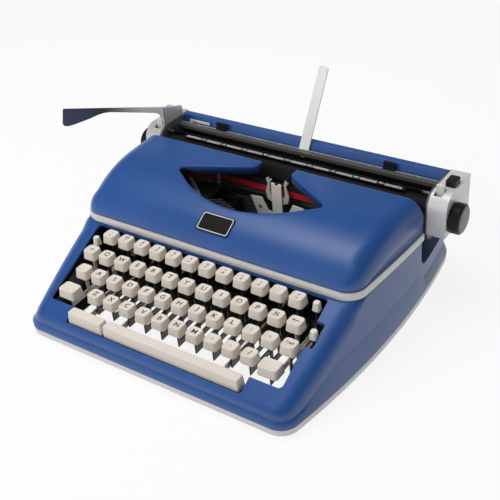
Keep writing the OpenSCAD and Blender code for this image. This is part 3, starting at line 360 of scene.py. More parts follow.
key_cream = moulded("key_cream", srgb(232, 223, 212), srgb(224, 214, 202), 0.42)
pale_plastic = moulded("pale_plastic", srgb(250, 249, 247), srgb(244, 243, 240), 0.5)
white_plastic = moulded("white_plastic", srgb(234, 231, 222), srgb(226, 221, 210), 0.4)
black_plastic = moulded("black_plastic", srgb(24, 24, 25), srgb(17, 17, 18), 0.42, shine=0.3)
black_rubber = moulded("black_rubber", srgb(22, 22, 23), srgb(16, 16, 17), 0.55, 3200.0, 0.12, shine=0.25)
legend_ink = moulded("legend_ink", srgb(70, 64, 61), srgb(52, 47, 45), 0.6)
# Partly painted light: the guide's own cream is made whiter, to make up for the shade it lies in inside the
# eye.
cream_painted_light = moulded("cream_painted_light", srgb(252, 248, 238), srgb(246, 241, 229), 0.38, 1200.0)
print("mouldings: 7")

# %% [markdown]
# The inked ribbon is cloth, black above and red below. Two strips could be modelled, but the real one
# is a single cloth inked in two halves, so the colour changes at half its height. Fine bands along it
# stand for the weave, in the roughness and in the normal.

# %% Ribbon cloth
WEAVE, WEAVE_DEPTH = 420.0, 0.0001


def ribbon_cloth():
    """Cloth in two colours that meet at half the ribbon's height, with a weave of bands along x."""
    material, shade, shader = finish("ribbon_cloth", {"Sheen Weight": 0.2})
    place, (_, _, z) = own_place(shade)
    low, high = (corner.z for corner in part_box("ribbon"))
    weave = shade.node("ShaderNodeTexWave", {"wave_type": "BANDS", "bands_direction": "X"}, {
        "Vector": place, "Scale": WEAVE, "Distortion": 0.4})
    upper = z > (low + high) / 2
    feed(shade, shader, Base_Color=upper.mix(srgb(196, 24, 30), srgb(22, 21, 22)),
         Roughness=0.7 + 0.1 * weave, Normal=grainy(shade, weave, WEAVE_DEPTH, 0.3))
    return material


inked_ribbon = ribbon_cloth()
print("cloth:", inked_ribbon.name)

# %% [markdown]
# Three metal pieces change colour along their length: the return lever from a dark paddle to a bright
# root, the bail from its bright ends to black, and the spool plates from dark sheet to the bright
# spring above. On the return lever that change is painted reflection: the dark blue paddle stands for
# the blue body mirrored in it, the bright root for mirrored light. Several materials on chosen faces
# could do it; one colour ramp along the piece's box is shorter, and its stops read like marks on a ruler.

# %% Banded metals
ACROSS, UPWARDS = np.array([1.0, 0.0, 0.0]), np.array([0.0, 0.0, 1.0])
SPOTS, SPOT_DEPTH, BAND_EDGE = 300.0, 0.0001, 0.0005


def banded_metal(name, node, direction, stops, rough, metallic=1.0):
    """A metal whose tint follows stops of (share of the way along the node's box, screen colour)."""
    material, shade, shader = finish(name, {"Metallic": metallic})
    place, parts = own_place(shade)
    low, high = (np.array(corner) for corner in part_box(node))
    start, span = low @ direction, (high - low) @ direction
    way = (sum(part * float(d) for part, d in zip(parts, direction)) - start) / span
    tints = [(share, srgb(*colour)) for share, colour in stops]
    tint = shade.node("ShaderNodeValToRGB", {"stops": tints}, {0: way})
    grain = cloudy(shade, place, SPOTS)
    feed(shade, shader, Base_Color=tint, Roughness=rough + 0.1 * grain,
         Normal=grainy(shade, grain, SPOT_DEPTH, 0.05, softened(shade, BAND_EDGE)))
    return material


# Painted reflection: the lever goes from a dark blue paddle, for the blue body mirrored there, to a bright
# root, for mirrored light.
lever_painted_reflection = banded_metal("lever_painted_reflection", "return_lever", ACROSS, [
    (0.0, (44, 54, 86)), (0.3, (34, 43, 70)), (0.44, (26, 29, 38)), (0.54, (92, 93, 96)),
    (0.66, (140, 141, 141)), (0.82, (184, 185, 184)), (1.0, (206, 207, 205))], 0.3, 0.3)
bail_black = banded_metal("bail_black", "paper_bail", ACROSS, [
    (0.0, (170, 170, 172)), (0.02, (150, 150, 152)), (0.03, (26, 26, 28)),
    (0.97, (26, 26, 28)), (0.98, (150, 150, 152)), (1.0, (170, 170, 172))], 0.36)
plate_and_spring = banded_metal("plate_and_spring", "spool_plates", UPWARDS, [
    (0.0, (66, 67, 68)), (0.075, (66, 67, 68)), (0.13, (216, 216, 214)), (1.0, (220, 220, 218))], 0.3, 0.4)
print("banded:", lever_painted_reflection.name, bail_black.name, plate_and_spring.name)

# %% [markdown]
# The margin rail has white marks along its rear top edge, a tenth of an inch apart. Each could be a
# small face, but as a pattern they cost no geometry. Marks at equal steps come from a remainder: the
# way along the rail, counted in tenths, less its whole part.

# %% Ruled rail
TENTH = 2.54
RAIL_GREY, RAIL_MARK = srgb(84, 82, 77), srgb(226, 226, 220)
MARK_LONG, INCH_LONG, MARK_SKIN, RAIL_SPOTS, RAIL_EDGE = 0.0011, 0.0019, 0.0003, 500.0, 0.0004


def ruled(name, node):
    """Dark enamel with marks half a step wide on the rear of the top face, longer at each inch."""
    material, shade, shader = finish(name, {"IOR": 1.5})
    place, (x, y, z) = own_place(shade)
    low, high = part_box(node)
    run = (x - (low.x + high.x) / 2) / (TENTH / 1000)
    tick = ((run + 0.25) % 1.0) < 0.5
    inch = ((run + 0.7) % 10.0) < 1.4
    reach = (y > high.y - MARK_LONG) + inch * (y > high.y - INCH_LONG)
    mark = tick * (reach > 0.5) * (z > high.z - MARK_SKIN)
    spots = cloudy(shade, place, RAIL_SPOTS)
    feed(shade, shader, Base_Color=mark.mix(RAIL_GREY, RAIL_MARK), Roughness=0.4 + 0.1 * spots,
         Normal=softened(shade, RAIL_EDGE))
    return material


ruled_rail = ruled("ruled_rail", "margin_rail")
print("ruled:", ruled_rail.name)

# %% [markdown]
# Each solid takes its finish by name, from one table that can be read at a glance. The finish goes into
# the solid's own slots; its shape stays.

# %% Dress the solids
DRESS = {
    blue_panel: ("body_shell", "ribbon_cover"),
    table_enamel_painted_shade: ("paper_table",),
    pan_silver_and_shade: ("bottom_pan",),
    satin_silver: ("trim_band", "left_end_cover"),
    # The right end cover and the vibrator take the paler silver: painted highlight.
    silver_painted_highlight: ("right_end_cover", "ribbon_vibrator"),
    bright_steel: ("cover_hinge_pins", "key_shaft", "bed_rails", "escapement_rack", "mainspring_drum",
                   "platen_core"),
    dark_steel: ("left_side_frame", "right_side_frame", "key_comb", "paper_pan", "cross_braces"),
    ruled_rail: ("margin_rail",),
    lever_steel: ("number_row_levers", "top_row_levers", "home_row_levers", "bottom_row_levers", "segment",
                  "typebars"),
    lever_painted_reflection: ("return_lever",),
    bail_black: ("paper_bail",),
    key_cream: ("number_row_keys", "top_row_keys", "home_row_keys", "bottom_row_keys", "margin_release_key",
                "backspace_key", "shift_lock_key", "tab_key", "shift_keys", "space_bar", "repeat_bar"),
    white_plastic: ("ribbon_selector", "touch_lever", "ribbon_reverse_lever", "carriage_releases",
                    "paper_guide"),
    black_rubber: ("rubber_feet", "platen", "feed_roller"),
    black_plastic: ("platen_knobs", "left_spool", "right_spool", "left_margin_stop", "right_margin_stop",
                    "paper_release", "badge_plate"),
    cream_painted_light: ("type_guide",),
    inked_ribbon: ("ribbon",),
    turned_brass: ("escapement_pinion",),
    pale_plastic: ("paper_support",),
    grey_enamel: ("carriage_frame",),
    plate_and_spring: ("spool_plates",),
}


def wear(piece, material):
    """Gives every material slot of the piece that finish."""
    piece.data.materials.clear()
    piece.data.materials.append(material)


for material, names in DRESS.items():
    for name in names:
        wear(nodes[name], material)
print("solids dressed:", sum(len(names) for names in DRESS.values()), "of", len(nodes))

# %% [markdown]
# The new pieces are surfaces: rows of points in stations, joined to their neighbours by quads. They
# could be shaped by hand, but formulas keep every size exact and easy to change, and one function can
# make them all. A ring closes each row on itself, a loop closes the rows on each other, and caps fill
# the first and last row, so a turned knob, a rod, a shell and a key cap are all the same few lines.

# %% Surfaces from grids
def piece(name, places, faces, material, body, slot, crease=38.0):
    """A mesh at the origin from stations and faces, smooth but for edges sharper than crease in degrees."""
    mesh = bpy.data.meshes.new(name)
    mesh.from_pydata(at(places).tolist(), [], faces)
    mesh.shade_smooth()
    mesh.set_sharp_from_angle(angle=math.radians(crease))
    made = placed(name, mesh)
    wear(made, material)
    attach(made, body)
    return made


def surface(name, grids, material, body, slot, ring=False, loop=False, caps=False, crease=38.0):
    """Quads between neighbours of one grid (rows, columns, 3) of stations, or of several such grids."""
    grids = np.asarray(grids, float)
    grids = grids[None] if grids.ndim == 3 else grids
    index = np.arange(grids[..., 0].size).reshape(grids.shape[:3])
    low = index if loop else index[:, :-1]
    high = np.roll(index, -1, axis=1) if loop else index[:, 1:]
    if ring:
        corners = [low, np.roll(low, -1, axis=2), np.roll(high, -1, axis=2), high]
    else:
        corners = [low[:, :, :-1], low[:, :, 1:], high[:, :, 1:], high[:, :, :-1]]
    faces = np.stack(corners, axis=-1).reshape(-1, 4).tolist()
    if caps:
        faces += index[:, 0, ::-1].tolist() + index[:, -1].tolist()
    return piece(name, grids.reshape(-1, 3), faces, material, body, slot, crease)


def solid(name, grids, material, body, slot):
    """A closed surface: every row is a ring, and the first and last are filled."""
    return surface(name, grids, material, body, slot, ring=True, caps=True)


def lifted(plan, levels):
    """Stations from points in plan and their heights."""
    levels = np.broadcast_to(levels, plan.shape[:-1])
    return np.concatenate([plan, levels[..., None]], axis=-1)


def circle(count):
    """Angles at equal steps once round."""
    return np.linspace(0, 2 * math.pi, count, endpoint=False)


def walled(made, thickness):
    """Gives a sheet that wall, inwards from its face, in millimetres."""
    wall = made.modifiers.new("wall", "SOLIDIFY")
    wall.thickness = thickness / 1000
    wall.offset = -1
    return made


print("surface functions ready")

# %% [markdown]
# The shell is pressed from sheet. Its sides bow out in plan and lean in towards the front, its front
# edge is rolled, and its deck slopes up to the trim. Two formulas hold all of that: how high the shell
# is at a station, and how wide it is at a station and a height.

# %% Shape of the shell
BASE_HALF, BOW_Y, BOW_R = 163.5, 178.0, 800.0
LEAN_FRONT, LEAN_REAR, LEAN_RUN, DROP_Y, LEDGE_Z, TRIM_Z = 4.5, 1.0, 90.0, 220.0, 7.0, 67.0
SHELL_IN, PLAN_R = 3.0, 18.0
DECK_SLOPE, DECK_Y, DECK_Z = math.radians(25.1), 10.0, 22.0
ROLL_R, ROLL_BACK, PROUD = 8.0, 0.05, 0.12
ROLL_Y = SHELL_IN + ROLL_BACK + ROLL_R
ROLL_Z = DECK_Z + math.tan(DECK_SLOPE) * (ROLL_Y - DECK_Y) - ROLL_R / math.cos(DECK_SLOPE)
ROLL_END = ROLL_Y - (ROLL_R + PROUD) * math.sin(DECK_SLOPE)


def shell_top(y):
    """Height of the shell over a station: the rolled front edge, the sloping deck, then the flat."""
    rolled = ROLL_Z + np.sqrt(np.clip((ROLL_R + PROUD) ** 2 - (y - ROLL_Y) ** 2, 0, None))
    sloped = DECK_Z + math.tan(DECK_SLOPE) * (y - DECK_Y) + PROUD / math.cos(DECK_SLOPE)
    return np.where(y < ROLL_END, rolled, np.minimum(TRIM_Z + PROUD, sloped))


def shell_side(y, z):
    """Half width of the shell: a bow less a lean that grows with height, or the round corner in front."""
    rise = (z - LEDGE_Z) / (TRIM_Z - LEDGE_Z)
    radius, inset = PLAN_R - SHELL_IN + PROUD, SHELL_IN - PROUD
    turn = math.atan((BOW_Y - PLAN_R) / BOW_R)
    corner_y = PLAN_R - radius * math.sin(turn)
    along = np.maximum(y, corner_y)
    lean = LEAN_REAR + (LEAN_FRONT - LEAN_REAR) * np.clip((DROP_Y - along) / LEAN_RUN, 0, 1)
    straight = BASE_HALF - (along - BOW_Y) ** 2 / (2 * BOW_R) - inset - rise * lean
    rounded = np.sqrt(np.clip(radius ** 2 - (PLAN_R - y) ** 2, 0, None)) - radius * math.cos(turn)
    return straight + np.where(y < corner_y, rounded, 0)


print("half width at the trim, mm:", round(float(shell_side(BOW_Y, TRIM_Z)), 1))

# %% [markdown]
# The solid follows this shape in flat steps, with a smaller round between side and deck. Smoothing its
# faces would change it, so a skin goes over it: a tenth of a millimetre proud on the deck, and up to
# 3.5 mm outside the solid at the front of the trim, where the round is widest. The skin is cut into
# sections across the machine, close together round the front corners.

# %% Skin of the shell
EDGE_R, EDGE_GAIN, EDGE_FADE, EDGE_LOSS, EDGE_LAST, EDGE_ON = 10.8, 3.5, 22.0, 1.7, 8.0, 12.0
EDGE_MIN, FLAT_MIN, DECK_LAP, FRONT_LAP, SKIN_FOOT = 0.3, 4.0, 0.3, 0.4, LEDGE_Z + 0.2
EDGE_END = DECK_Y + (TRIM_Z - DECK_Z) / math.tan(DECK_SLOPE) + EDGE_ON
FRONT_SECTIONS = 14


def shell_sections(y):
    """Rows from the foot up the side, round the edge and a little way in on the deck, at each station."""
    top = shell_top(y)
    left = EDGE_END - y
    gain = EDGE_GAIN * (top - LEDGE_Z) / (TRIM_Z - LEDGE_Z)
    loss = EDGE_LOSS * np.clip(1 - left / EDGE_LAST, 0, 1)
    fading = EDGE_R * np.minimum(1, left / EDGE_FADE) + gain - loss
    radius = np.clip(np.minimum(fading, top - LEDGE_Z - FLAT_MIN), EDGE_MIN, None)
    low, inner = shell_side(y, top - radius), shell_side(y, top) - radius
    turn = np.radians(np.linspace(0, 90, 13))[:, None]
    x = np.concatenate([
        shell_side(y, SKIN_FOOT)[None], inner + (low - inner) * np.cos(turn), inner[None] - DECK_LAP])
    z = np.concatenate([
        np.full((1, len(y)), SKIN_FOOT), top - radius + radius * np.sin(turn), top[None]])
    return np.stack([x, np.broadcast_to(y, x.shape), z], axis=-1)


front_turn = np.radians(np.linspace(0, 80, 24))
corner_stations = PLAN_R - (PLAN_R - SHELL_IN + PROUD) * np.cos(front_turn)
stations = np.concatenate([corner_stations, np.linspace(corner_stations[-1], EDGE_END, 60)[1:],
                           np.linspace(EDGE_END, DROP_Y - 0.6, 36)[1:]])
right_skin = shell_sections(stations)
left_skin = (right_skin * [-1, 1, 1])[:, ::-1]
surface("side_skins", [right_skin, left_skin], blue_panel, "chassis", "blue_paint", crease=60.0)

front_y = corner_stations[:FRONT_SECTIONS]
front_edge = shell_sections(front_y)[-1, :, 0] + FRONT_LAP
front_half = np.concatenate([front_edge[:1], front_edge])[:, None] * np.linspace(-1, 1, 25)
front_depth = np.broadcast_to(np.concatenate([front_y[:1], front_y])[:, None], front_half.shape)
front_level = np.concatenate([[SKIN_FOOT], shell_top(front_y)])[:, None]
front_grid = lifted(np.stack([front_half, front_depth], axis=-1), front_level)
surface("front_skin", front_grid, blue_panel, "chassis", "blue_paint", crease=60.0)
print("sections of the shell's skin:", len(stations))

# %% [markdown]
# At its foot the shell flares out over the upper part of the silver rim. The flare is one profile
# carried all the way round the foot's outline, and the outward direction is the path's heading turned
# by a quarter. A curve with a bevel shape could do that, but here the profile also changes along the
# path. Its top is tucked a millimetre under the skin, so that no gap shows between the two.

# %% Foot of the shell
BASE_D, RIM_TOP, FOOT_LOW, FOOT_OUT, FOOT_IN = 302.0, 10.0, 6.0, SHELL_IN + 0.1, SHELL_IN - 0.6
FLARE_MIN, FLARE_REAR, FLARE_MAX, TUCK = RIM_TOP + 3.5, RIM_TOP + 12, 36.0, 1.0
FOOT_PROFILE = np.array([
    [0.0, FLARE_MIN], [FOOT_OUT, RIM_TOP + 0.1], [FOOT_OUT, FOOT_LOW], [FOOT_IN, FOOT_LOW]])


def carried(path, profile, closed=False):
    """A profile of (outward, height) carried along a path in plan that runs anticlockwise."""
    ahead = np.roll(path, -1, axis=0) - np.roll(path, 1, axis=0) if closed else np.gradient(path, axis=0)
    ahead /= np.linalg.norm(ahead, axis=1, keepdims=True)
    outward = np.stack([ahead[:, 1], -ahead[:, 0]], axis=-1)
    plan = path[:, None] + outward[:, None] * profile[..., :1]
    return lifted(plan, profile[..., 1])


def flared(path):
    """The foot's profile at each point of its path: it starts as high as the side stays flat."""
    y = path[:, 1]
    start = np.clip(shell_top(y) - EDGE_R - EDGE_GAIN, FLARE_MIN, FLARE_MAX)
    start = np.where(y > DROP_Y - 2, FLARE_REAR, start)
    profile = np.repeat(FOOT_PROFILE[None], len(path), axis=0)
    profile[:, 0, 0] = shell_side(y, start) - shell_side(y, LEDGE_Z) - TUCK
    profile[:, 0, 1] = start
    return profile


side_y = np.linspace(corner_stations[-1], BASE_D - PLAN_R, 40)[1:]
rear_turn = np.radians(np.linspace(0, 90, 16))[1:]
rear_r = PLAN_R - SHELL_IN
corner_x = shell_side(side_y[-1], LEDGE_Z) - rear_r
right_foot = np.concatenate([
    np.stack([shell_side(corner_stations, LEDGE_Z), corner_stations], axis=-1),
    np.stack([shell_side(side_y, LEDGE_Z), side_y], axis=-1),
    np.stack([corner_x + rear_r * np.cos(rear_turn),
              BASE_D - PLAN_R + rear_r * np.sin(rear_turn)], axis=-1)])
foot_path = np.concatenate([right_foot, (right_foot * [-1, 1])[::-1]])
foot_grid = carried(foot_path, flared(foot_path), closed=True)
surface("shell_foot", foot_grid, blue_panel, "chassis", "blue_paint", ring=True, loop=True, crease=60.0)
print("foot of the shell, points round:", len(foot_path))

# %% [markdown]
# The ribbon cover is pressed from one sheet: a front that rises in a long round, shoulders along the
# sides, and an eye over the type. It could be a bevelled box, but then all its rounds would be circles.
# Here its height is a formula of x and y, and its rise is a power curve.

# %% Shape of the cover
COVER_FRONT, COVER_REAR, COVER_HALF, COVER_TAPER = 105.0, 218.0, 160.0, 9.5
COVER_FOOT, COVER_TOP, COVER_RUN, COVER_SHOULDER, COVER_CORNER = 74.9, 107.4, 73.0, 18.0, 18.0
TAPER_POWER, RISE_POWER, RISE_ROOT, SHOULDER_SHARE = 1.3, 1.8, 0.588, 0.9


def cover_side(y):
    """Half width of the cover's tapering side: it loses the taper as a power of the way to the front."""
    return COVER_HALF - COVER_TAPER * ((COVER_REAR - y) / (COVER_REAR - COVER_FRONT)) ** TAPER_POWER


def cover_width(y):
    """Half width at a station: the side, or the round corner in front of it."""
    corner_y = COVER_FRONT + COVER_CORNER
    reach = np.sqrt(np.clip(COVER_CORNER ** 2 - (corner_y - y) ** 2, 0, None))
    return np.where(y >= corner_y, cover_side(y), cover_side(corner_y) - COVER_CORNER + reach)


def cover_height(x, y):
    """Top over a point: a power curve from the foot to the flat, less a quarter round at the shoulders."""
    rise = np.clip((COVER_FRONT + COVER_RUN - y) / COVER_RUN, 0, 1)
    top = COVER_FOOT + (COVER_TOP - COVER_FOOT) * (1 - rise ** RISE_POWER) ** RISE_ROOT
    radius = np.minimum(COVER_SHOULDER, SHOULDER_SHARE * (top - COVER_FOOT))
    past = np.clip(np.abs(x) - (cover_width(y) - radius), 0, radius)
    return top - radius + np.sqrt(radius ** 2 - past ** 2)


print("height of the cover in front of the eye, mm:", round(float(cover_height(0.0, 140.0)), 1))

# %% [markdown]
# The sheet ends at two edges: the eye, which is open to the rear, and the foot, which runs round the
# sides and the front. A boolean could cut the eye, but it leaves ragged faces along the cut. Instead
# both edges are drawn as paths with the same number of points, and the sheet is spanned between them. A
# table says which shares of the two belong together.

# %% Edges of the cover
EYE_X, EYE_HALF, EYE_FRONT, EYE_SIDE, EYE_BACK, EYE_SWING = 2.5, 80.5, 140.0, 172.0, 204.5, 0.87
GAP_X, GAP_W, FOOT_BACK = 8.5, 38.0, 0.15
EYE_SHARES = [0, 0.057, 0.095, 0.448, 0.481, 0.6, 0.7, 0.85, 1]
FOOT_SHARES = [0, 0.016, 0.039, 0.164, 0.195, 0.36, 0.53, 0.76, 1]


def eased(path, times):
    """Cuts the corners of a path that many times: each leg keeps its middle half, the ends stay."""
    for _ in range(times):
        cut = np.stack([0.75 * path[:-1] + 0.25 * path[1:], 0.25 * path[:-1] + 0.75 * path[1:]], axis=1)
        path = np.concatenate([path[:1], cut.reshape(-1, 2), path[-1:]])
    return path


def shares(path, share):
    """Points at those shares of a path's length."""
    length = np.concatenate([[0], np.cumsum(np.linalg.norm(np.diff(path, axis=0), axis=1))])
    return np.stack([np.interp(share * length[-1], length, path[:, k]) for k in (0, 1)], axis=-1)


def eye_half(side):
    """Half of the eye's edge, rear to front: the slot, the slanting rear edge, the round tip, an arc."""
    bow = (EYE_HALF ** 2 + (EYE_SIDE - EYE_FRONT) ** 2) / (2 * (EYE_SIDE - EYE_FRONT))
    swing = np.linspace(-EYE_SWING * math.asin(EYE_HALF / bow), 0, 24)
    arc = np.stack([EYE_X - side * bow * np.sin(swing), EYE_FRONT + bow - bow * np.cos(swing)], axis=-1)
    slot_x, tip_x = GAP_X + side * GAP_W / 2, EYE_X + side * EYE_HALF
    rear = np.array([
        [slot_x, COVER_REAR], [slot_x, EYE_BACK + 4], [slot_x + 5 * side, EYE_BACK],
        [tip_x - 8 * side, EYE_SIDE + 8], [tip_x - side, EYE_SIDE + 4], [tip_x, EYE_SIDE - 2]])
    return eased(np.concatenate([rear, arc]), 3)


def foot_half():
    """Left half of the cover's foot: the side from the rear, the round corner, the front to its middle."""
    side_y = np.linspace(COVER_REAR, COVER_FRONT + COVER_CORNER, 30)
    turn = np.radians(np.linspace(180, 270, 20))
    centre = np.array([COVER_CORNER - cover_side(side_y[-1]), side_y[-1]])
    corner = centre + COVER_CORNER * np.stack([np.cos(turn), np.sin(turn)], axis=-1)
    side = np.stack([-cover_side(side_y), side_y], axis=-1)
    return np.concatenate([side, corner[1:], [[0, COVER_FRONT]]])


def cover_paths(half_count):
    """The eye's edge and the cover's foot, point for point, from the left rear round to the right."""
    foot = foot_half()
    foot[:, 1] = np.maximum(foot[:, 1], COVER_FRONT + FOOT_BACK)
    along = np.linspace(0, 1, half_count)
    left, right = (shares(eye_half(side), along) for side in (-1, 1))
    left_foot = shares(foot, np.interp(along, EYE_SHARES, FOOT_SHARES))
    eye = np.concatenate([left, right[-2::-1]])
    return eye, np.concatenate([left_foot, (left_foot * [-1, 1])[-2::-1]]), along


COVER_EDGES = cover_paths(110)
print("points along each edge:", len(COVER_EDGES[0]))

# %% [markdown]
# Now the sheet itself: rows from the foot to the eye, crowded near the foot, where it is steep, then a
# small round and a lip turned down along the eye. A Solidify modifier gives it the wall of a pressed
# sheet, which is simpler than a second surface inside the first.

# %% Ribbon cover
COVER_SKIN, LIP_ROUND = 2.0, 1.6
LIP_SHARES, LIP_DEPTHS = [0, 0.40, 0.5, 1], [9.0, 9.0, 2.6, 2.6]


def cover_grid(eye, foot, along):
    """Rows from the foot over the shoulders to the eye, then round its edge and down the turned lip."""
    heading = np.gradient(eye, axis=0)
    heading /= np.linalg.norm(heading, axis=1, keepdims=True)
    inward = np.stack([-heading[:, 1], heading[:, 0]], axis=-1)
    edge = eye - LIP_ROUND * inward
    near = (1 - np.linspace(0, 1, 34) ** 2)[:, None, None]
    plan = edge + (foot - edge) * near
    skin = lifted(plan, cover_height(plan[..., 0], plan[..., 1]))
    skirt = lifted(foot, COVER_FOOT)[None]
    turn = np.radians(np.linspace(18, 90, 5))[:, None, None]
    ring = edge + LIP_ROUND * inward * np.sin(turn)
    rolled = lifted(ring, skin[-1, :, 2] - LIP_ROUND * (1 - np.cos(turn[..., 0])))
    depth = np.interp(along, LIP_SHARES, LIP_DEPTHS)
    hem = rolled[-1:].copy()
    hem[0, :, 2] = skin[-1, :, 2] - np.concatenate([depth, depth[-2::-1]])
    return np.concatenate([skirt, skin, rolled, hem])


cover = surface("cover_shell", cover_grid(*COVER_EDGES), blue_panel, "cover", "blue_paint", crease=50.0)
walled(cover, COVER_SKIN)
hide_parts("ribbon_cover")
print("cover shell quads:", len(cover.data.polygons))

# %% [markdown]
# The trim is a bright strip under the cover's foot. Its skin is one small profile, out from the foot
# and up, carried along the foot's path by the function that carried the shell's own foot.

# %% Trim strip
TRIM_IN, TRIM_OUT, TRIM_TOP = -1.5, 1.4, 74.7
TRIM_PROFILE = np.array([
    [TRIM_IN, TRIM_TOP], [TRIM_OUT - 0.5, TRIM_TOP], [TRIM_OUT, TRIM_TOP - 0.7],
    [TRIM_OUT, TRIM_Z + 0.4], [TRIM_OUT - 0.4, TRIM_Z], [TRIM_IN, TRIM_Z]])
trim_half = shares(foot_half(), np.linspace(0, 1, 90))
trim_path = np.concatenate([trim_half, (trim_half * [-1, 1])[-2::-1]])
solid("trim_skin", carried(trim_path, TRIM_PROFILE), satin_silver, "chassis", "silver_trim")
print("trim strip, mm long:", round(np.linalg.norm(np.diff(trim_path, axis=0), axis=1).sum()))

# %% [markdown]
# Two small lugs under the cover's rear corners take the hinge pins. They are one profile, a half round
# below a block, carried straight across. They ride on the cover, so they turn with it.

# %% Hinge lugs
LUG_IN, LUG_OUT, HINGE_Y, HINGE_Z, LUG_R = 128.5, 134.5, 212.0, 100.0, 4.0
lug_turn = np.radians(np.linspace(180, 360, 17))
lug_profile = np.concatenate([
    np.stack([HINGE_Y + LUG_R * np.cos(lug_turn), HINGE_Z + LUG_R * np.sin(lug_turn)], axis=-1),
    [[HINGE_Y + LUG_R, COVER_TOP - 1], [HINGE_Y - LUG_R, COVER_TOP - 1]]])


def prism(profile, x0, x1):
    """A profile in y and z carried from one x to another."""
    return np.stack([np.insert(profile, 0, x, axis=1) for x in (x0, x1)])


LUG_SPANS = ((LUG_IN, LUG_OUT), (-LUG_OUT, -LUG_IN))
solid("cover_lugs", [prism(lug_profile, *span) for span in LUG_SPANS], blue_panel, "cover", "blue_paint")
print("lugs:", len(LUG_SPANS))

# %% [markdown]
# Keys are moulded caps with a drafted skirt, a soft rim and a dished top. A subdivided cube would come
# close, but its rim and dish couldn't be set in millimetres. A ring round a rounded rectangle is one
# formula, and a cap is a stack of such rings.

# %% Key caps
CORNER_POINTS = 9
CAP_W, CAP_D, CAP_H, CAP_DISH, CAP_RIM, CAP_DRAFT, CAP_ROUND = 14.6, 13.6, 9.0, 0.9, 1.55, 0.8, 1.1
CAP_SHARES = np.array([0.97, 0.9, 0.78, 0.62, 0.45, 0.28, 0.12, 0.02])


def rounded_rings(half_w, half_d, radius):
    """Rings round rounded rectangles: each corner's centre plus its radius turned through a quarter."""
    half_w, half_d, radius = (np.asarray(v, float).reshape(-1, 1, 1) for v in (half_w, half_d, radius))
    quarter = np.arange(4)[:, None]
    turn = np.radians(90) * (quarter + np.linspace(0, 1, CORNER_POINTS)[None])
    right_side = np.where((quarter == 0) | (quarter == 3), 1, -1)
    far_side = np.where(quarter < 2, 1, -1)
    x = right_side * (half_w - radius) + radius * np.cos(turn)
    y = far_side * (half_d - radius) + radius * np.sin(turn)
    return np.stack([x, y], axis=-1).reshape(len(half_w), -1, 2)


def dish(x, y, half_w, half_d, depth):
    """Depth of a top below its rim: a product of two parabolas, deepest in the middle."""
    return depth * np.clip(1 - (x / half_w) ** 2, 0, 1) * np.clip(1 - (y / half_d) ** 2, 0, 1)


def cap_grid(width, depth, height, hollow, grow=0.0, corner=3.0):
    """Rings up the skirt, round the rim and in over the dish; grow makes an outer skin of the same cap."""
    skirt = np.linspace(0, 1, 4)
    turn = np.radians(np.linspace(0, 90, 7)[1:])
    rim = CAP_DRAFT + (CAP_RIM - CAP_DRAFT) * (1 - np.cos(turn))
    inset = np.concatenate([CAP_DRAFT * skirt, rim]) - grow
    side = height - CAP_ROUND
    z = np.concatenate([side * skirt, side + (CAP_ROUND + grow) * np.sin(turn)])
    outer = rounded_rings(width / 2 - inset, depth / 2 - inset, np.full(len(inset), corner))
    rim_w, rim_d = width / 2 - inset[-1], depth / 2 - inset[-1]
    inner = rounded_rings(rim_w * CAP_SHARES, rim_d * CAP_SHARES, 0.96 * corner * CAP_SHARES)
    levels = height + grow - dish(inner[..., 0], inner[..., 1], rim_w, rim_d, hollow)
    return np.concatenate([lifted(outer, z[:, None]), lifted(inner, levels)])


plain_cap = cap_grid(CAP_W, CAP_D, CAP_H, CAP_DISH)
print("rings in a cap:", len(plain_cap))

# %% [markdown]
# A row of keys is the same cap at several places, one pitch apart. An Array modifier could repeat it,
# but adding the places to the grid is one line, and the row is one mesh because its keys share one
# body. The caps stand for the solid keys, which are hidden here.

# %% Rows of keys
PITCH, FIRST_X = 19.05, -106.925


def spread(grid, places):
    """The same grid at several places."""
    return grid[None] + np.asarray(places, float)[:, None, None, :]


ROWS = {
    "number_row": (0.0, 12, 92.8, 67.9), "top_row": (0.5, 11, 73.3, 58.5),
    "home_row": (0.75, 11, 54.8, 49.6), "bottom_row": (1.25, 10, 37.0, 41.4)}


def row_places(first, count, y, top):
    """Centres of a row's caps, at their foot."""
    x = FIRST_X + PITCH * (first + np.arange(count))
    return np.stack([x, np.full(count, y), np.full(count, top - CAP_H)], axis=-1)


for row, spots in ROWS.items():
    caps = solid(row + "_caps", spread(plain_cap, row_places(*spots)), key_cream, row, "key_plastic")
    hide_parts(row + "_keys")
print("caps in four rows:", sum(count for _, count, _, _ in ROWS.values()))

# %% [markdown]
# The keys at the ends of the rows, the shift keys and the bars are one solid each with their own
# levers, which stay in view. So their caps aren't replaced: each gets a smooth skin over it, a sixth of
# a millimetre proud at the sides.

# %% Skins of the single keys and bars
SINGLE = {"margin_release": (-0.5, 73.3, 58.5), "backspace": (11.5, 73.3, 58.5),
          "shift_lock": (-0.25, 54.8, 49.6), "tab": (11.75, 54.8, 49.6)}
SHIFT_KEYS = [(FIRST_X + PITCH * i, 35.0, 39.0 - CAP_H) for i in (-0.375, 11.375)]
SHIFT_W, SHIFT_D, SHIFT_DISH = 20.0, 15.0, 0.7
OVERLAY = 0.16
BARS = {"space": (19.0, 148.0), "repeat": (-77.5, 41.0)}
BAR_Y, BAR_TOP, BAR_D, BAR_H, BAR_CORNER = 16.0, 31.4, 11.0, 11.4, 1.8


def single_place(name):
    """The foot of a single key's cap, from its column, its station y and its top."""
    column, y, top = SINGLE[name]
    return FIRST_X + PITCH * column, y, top - CAP_H


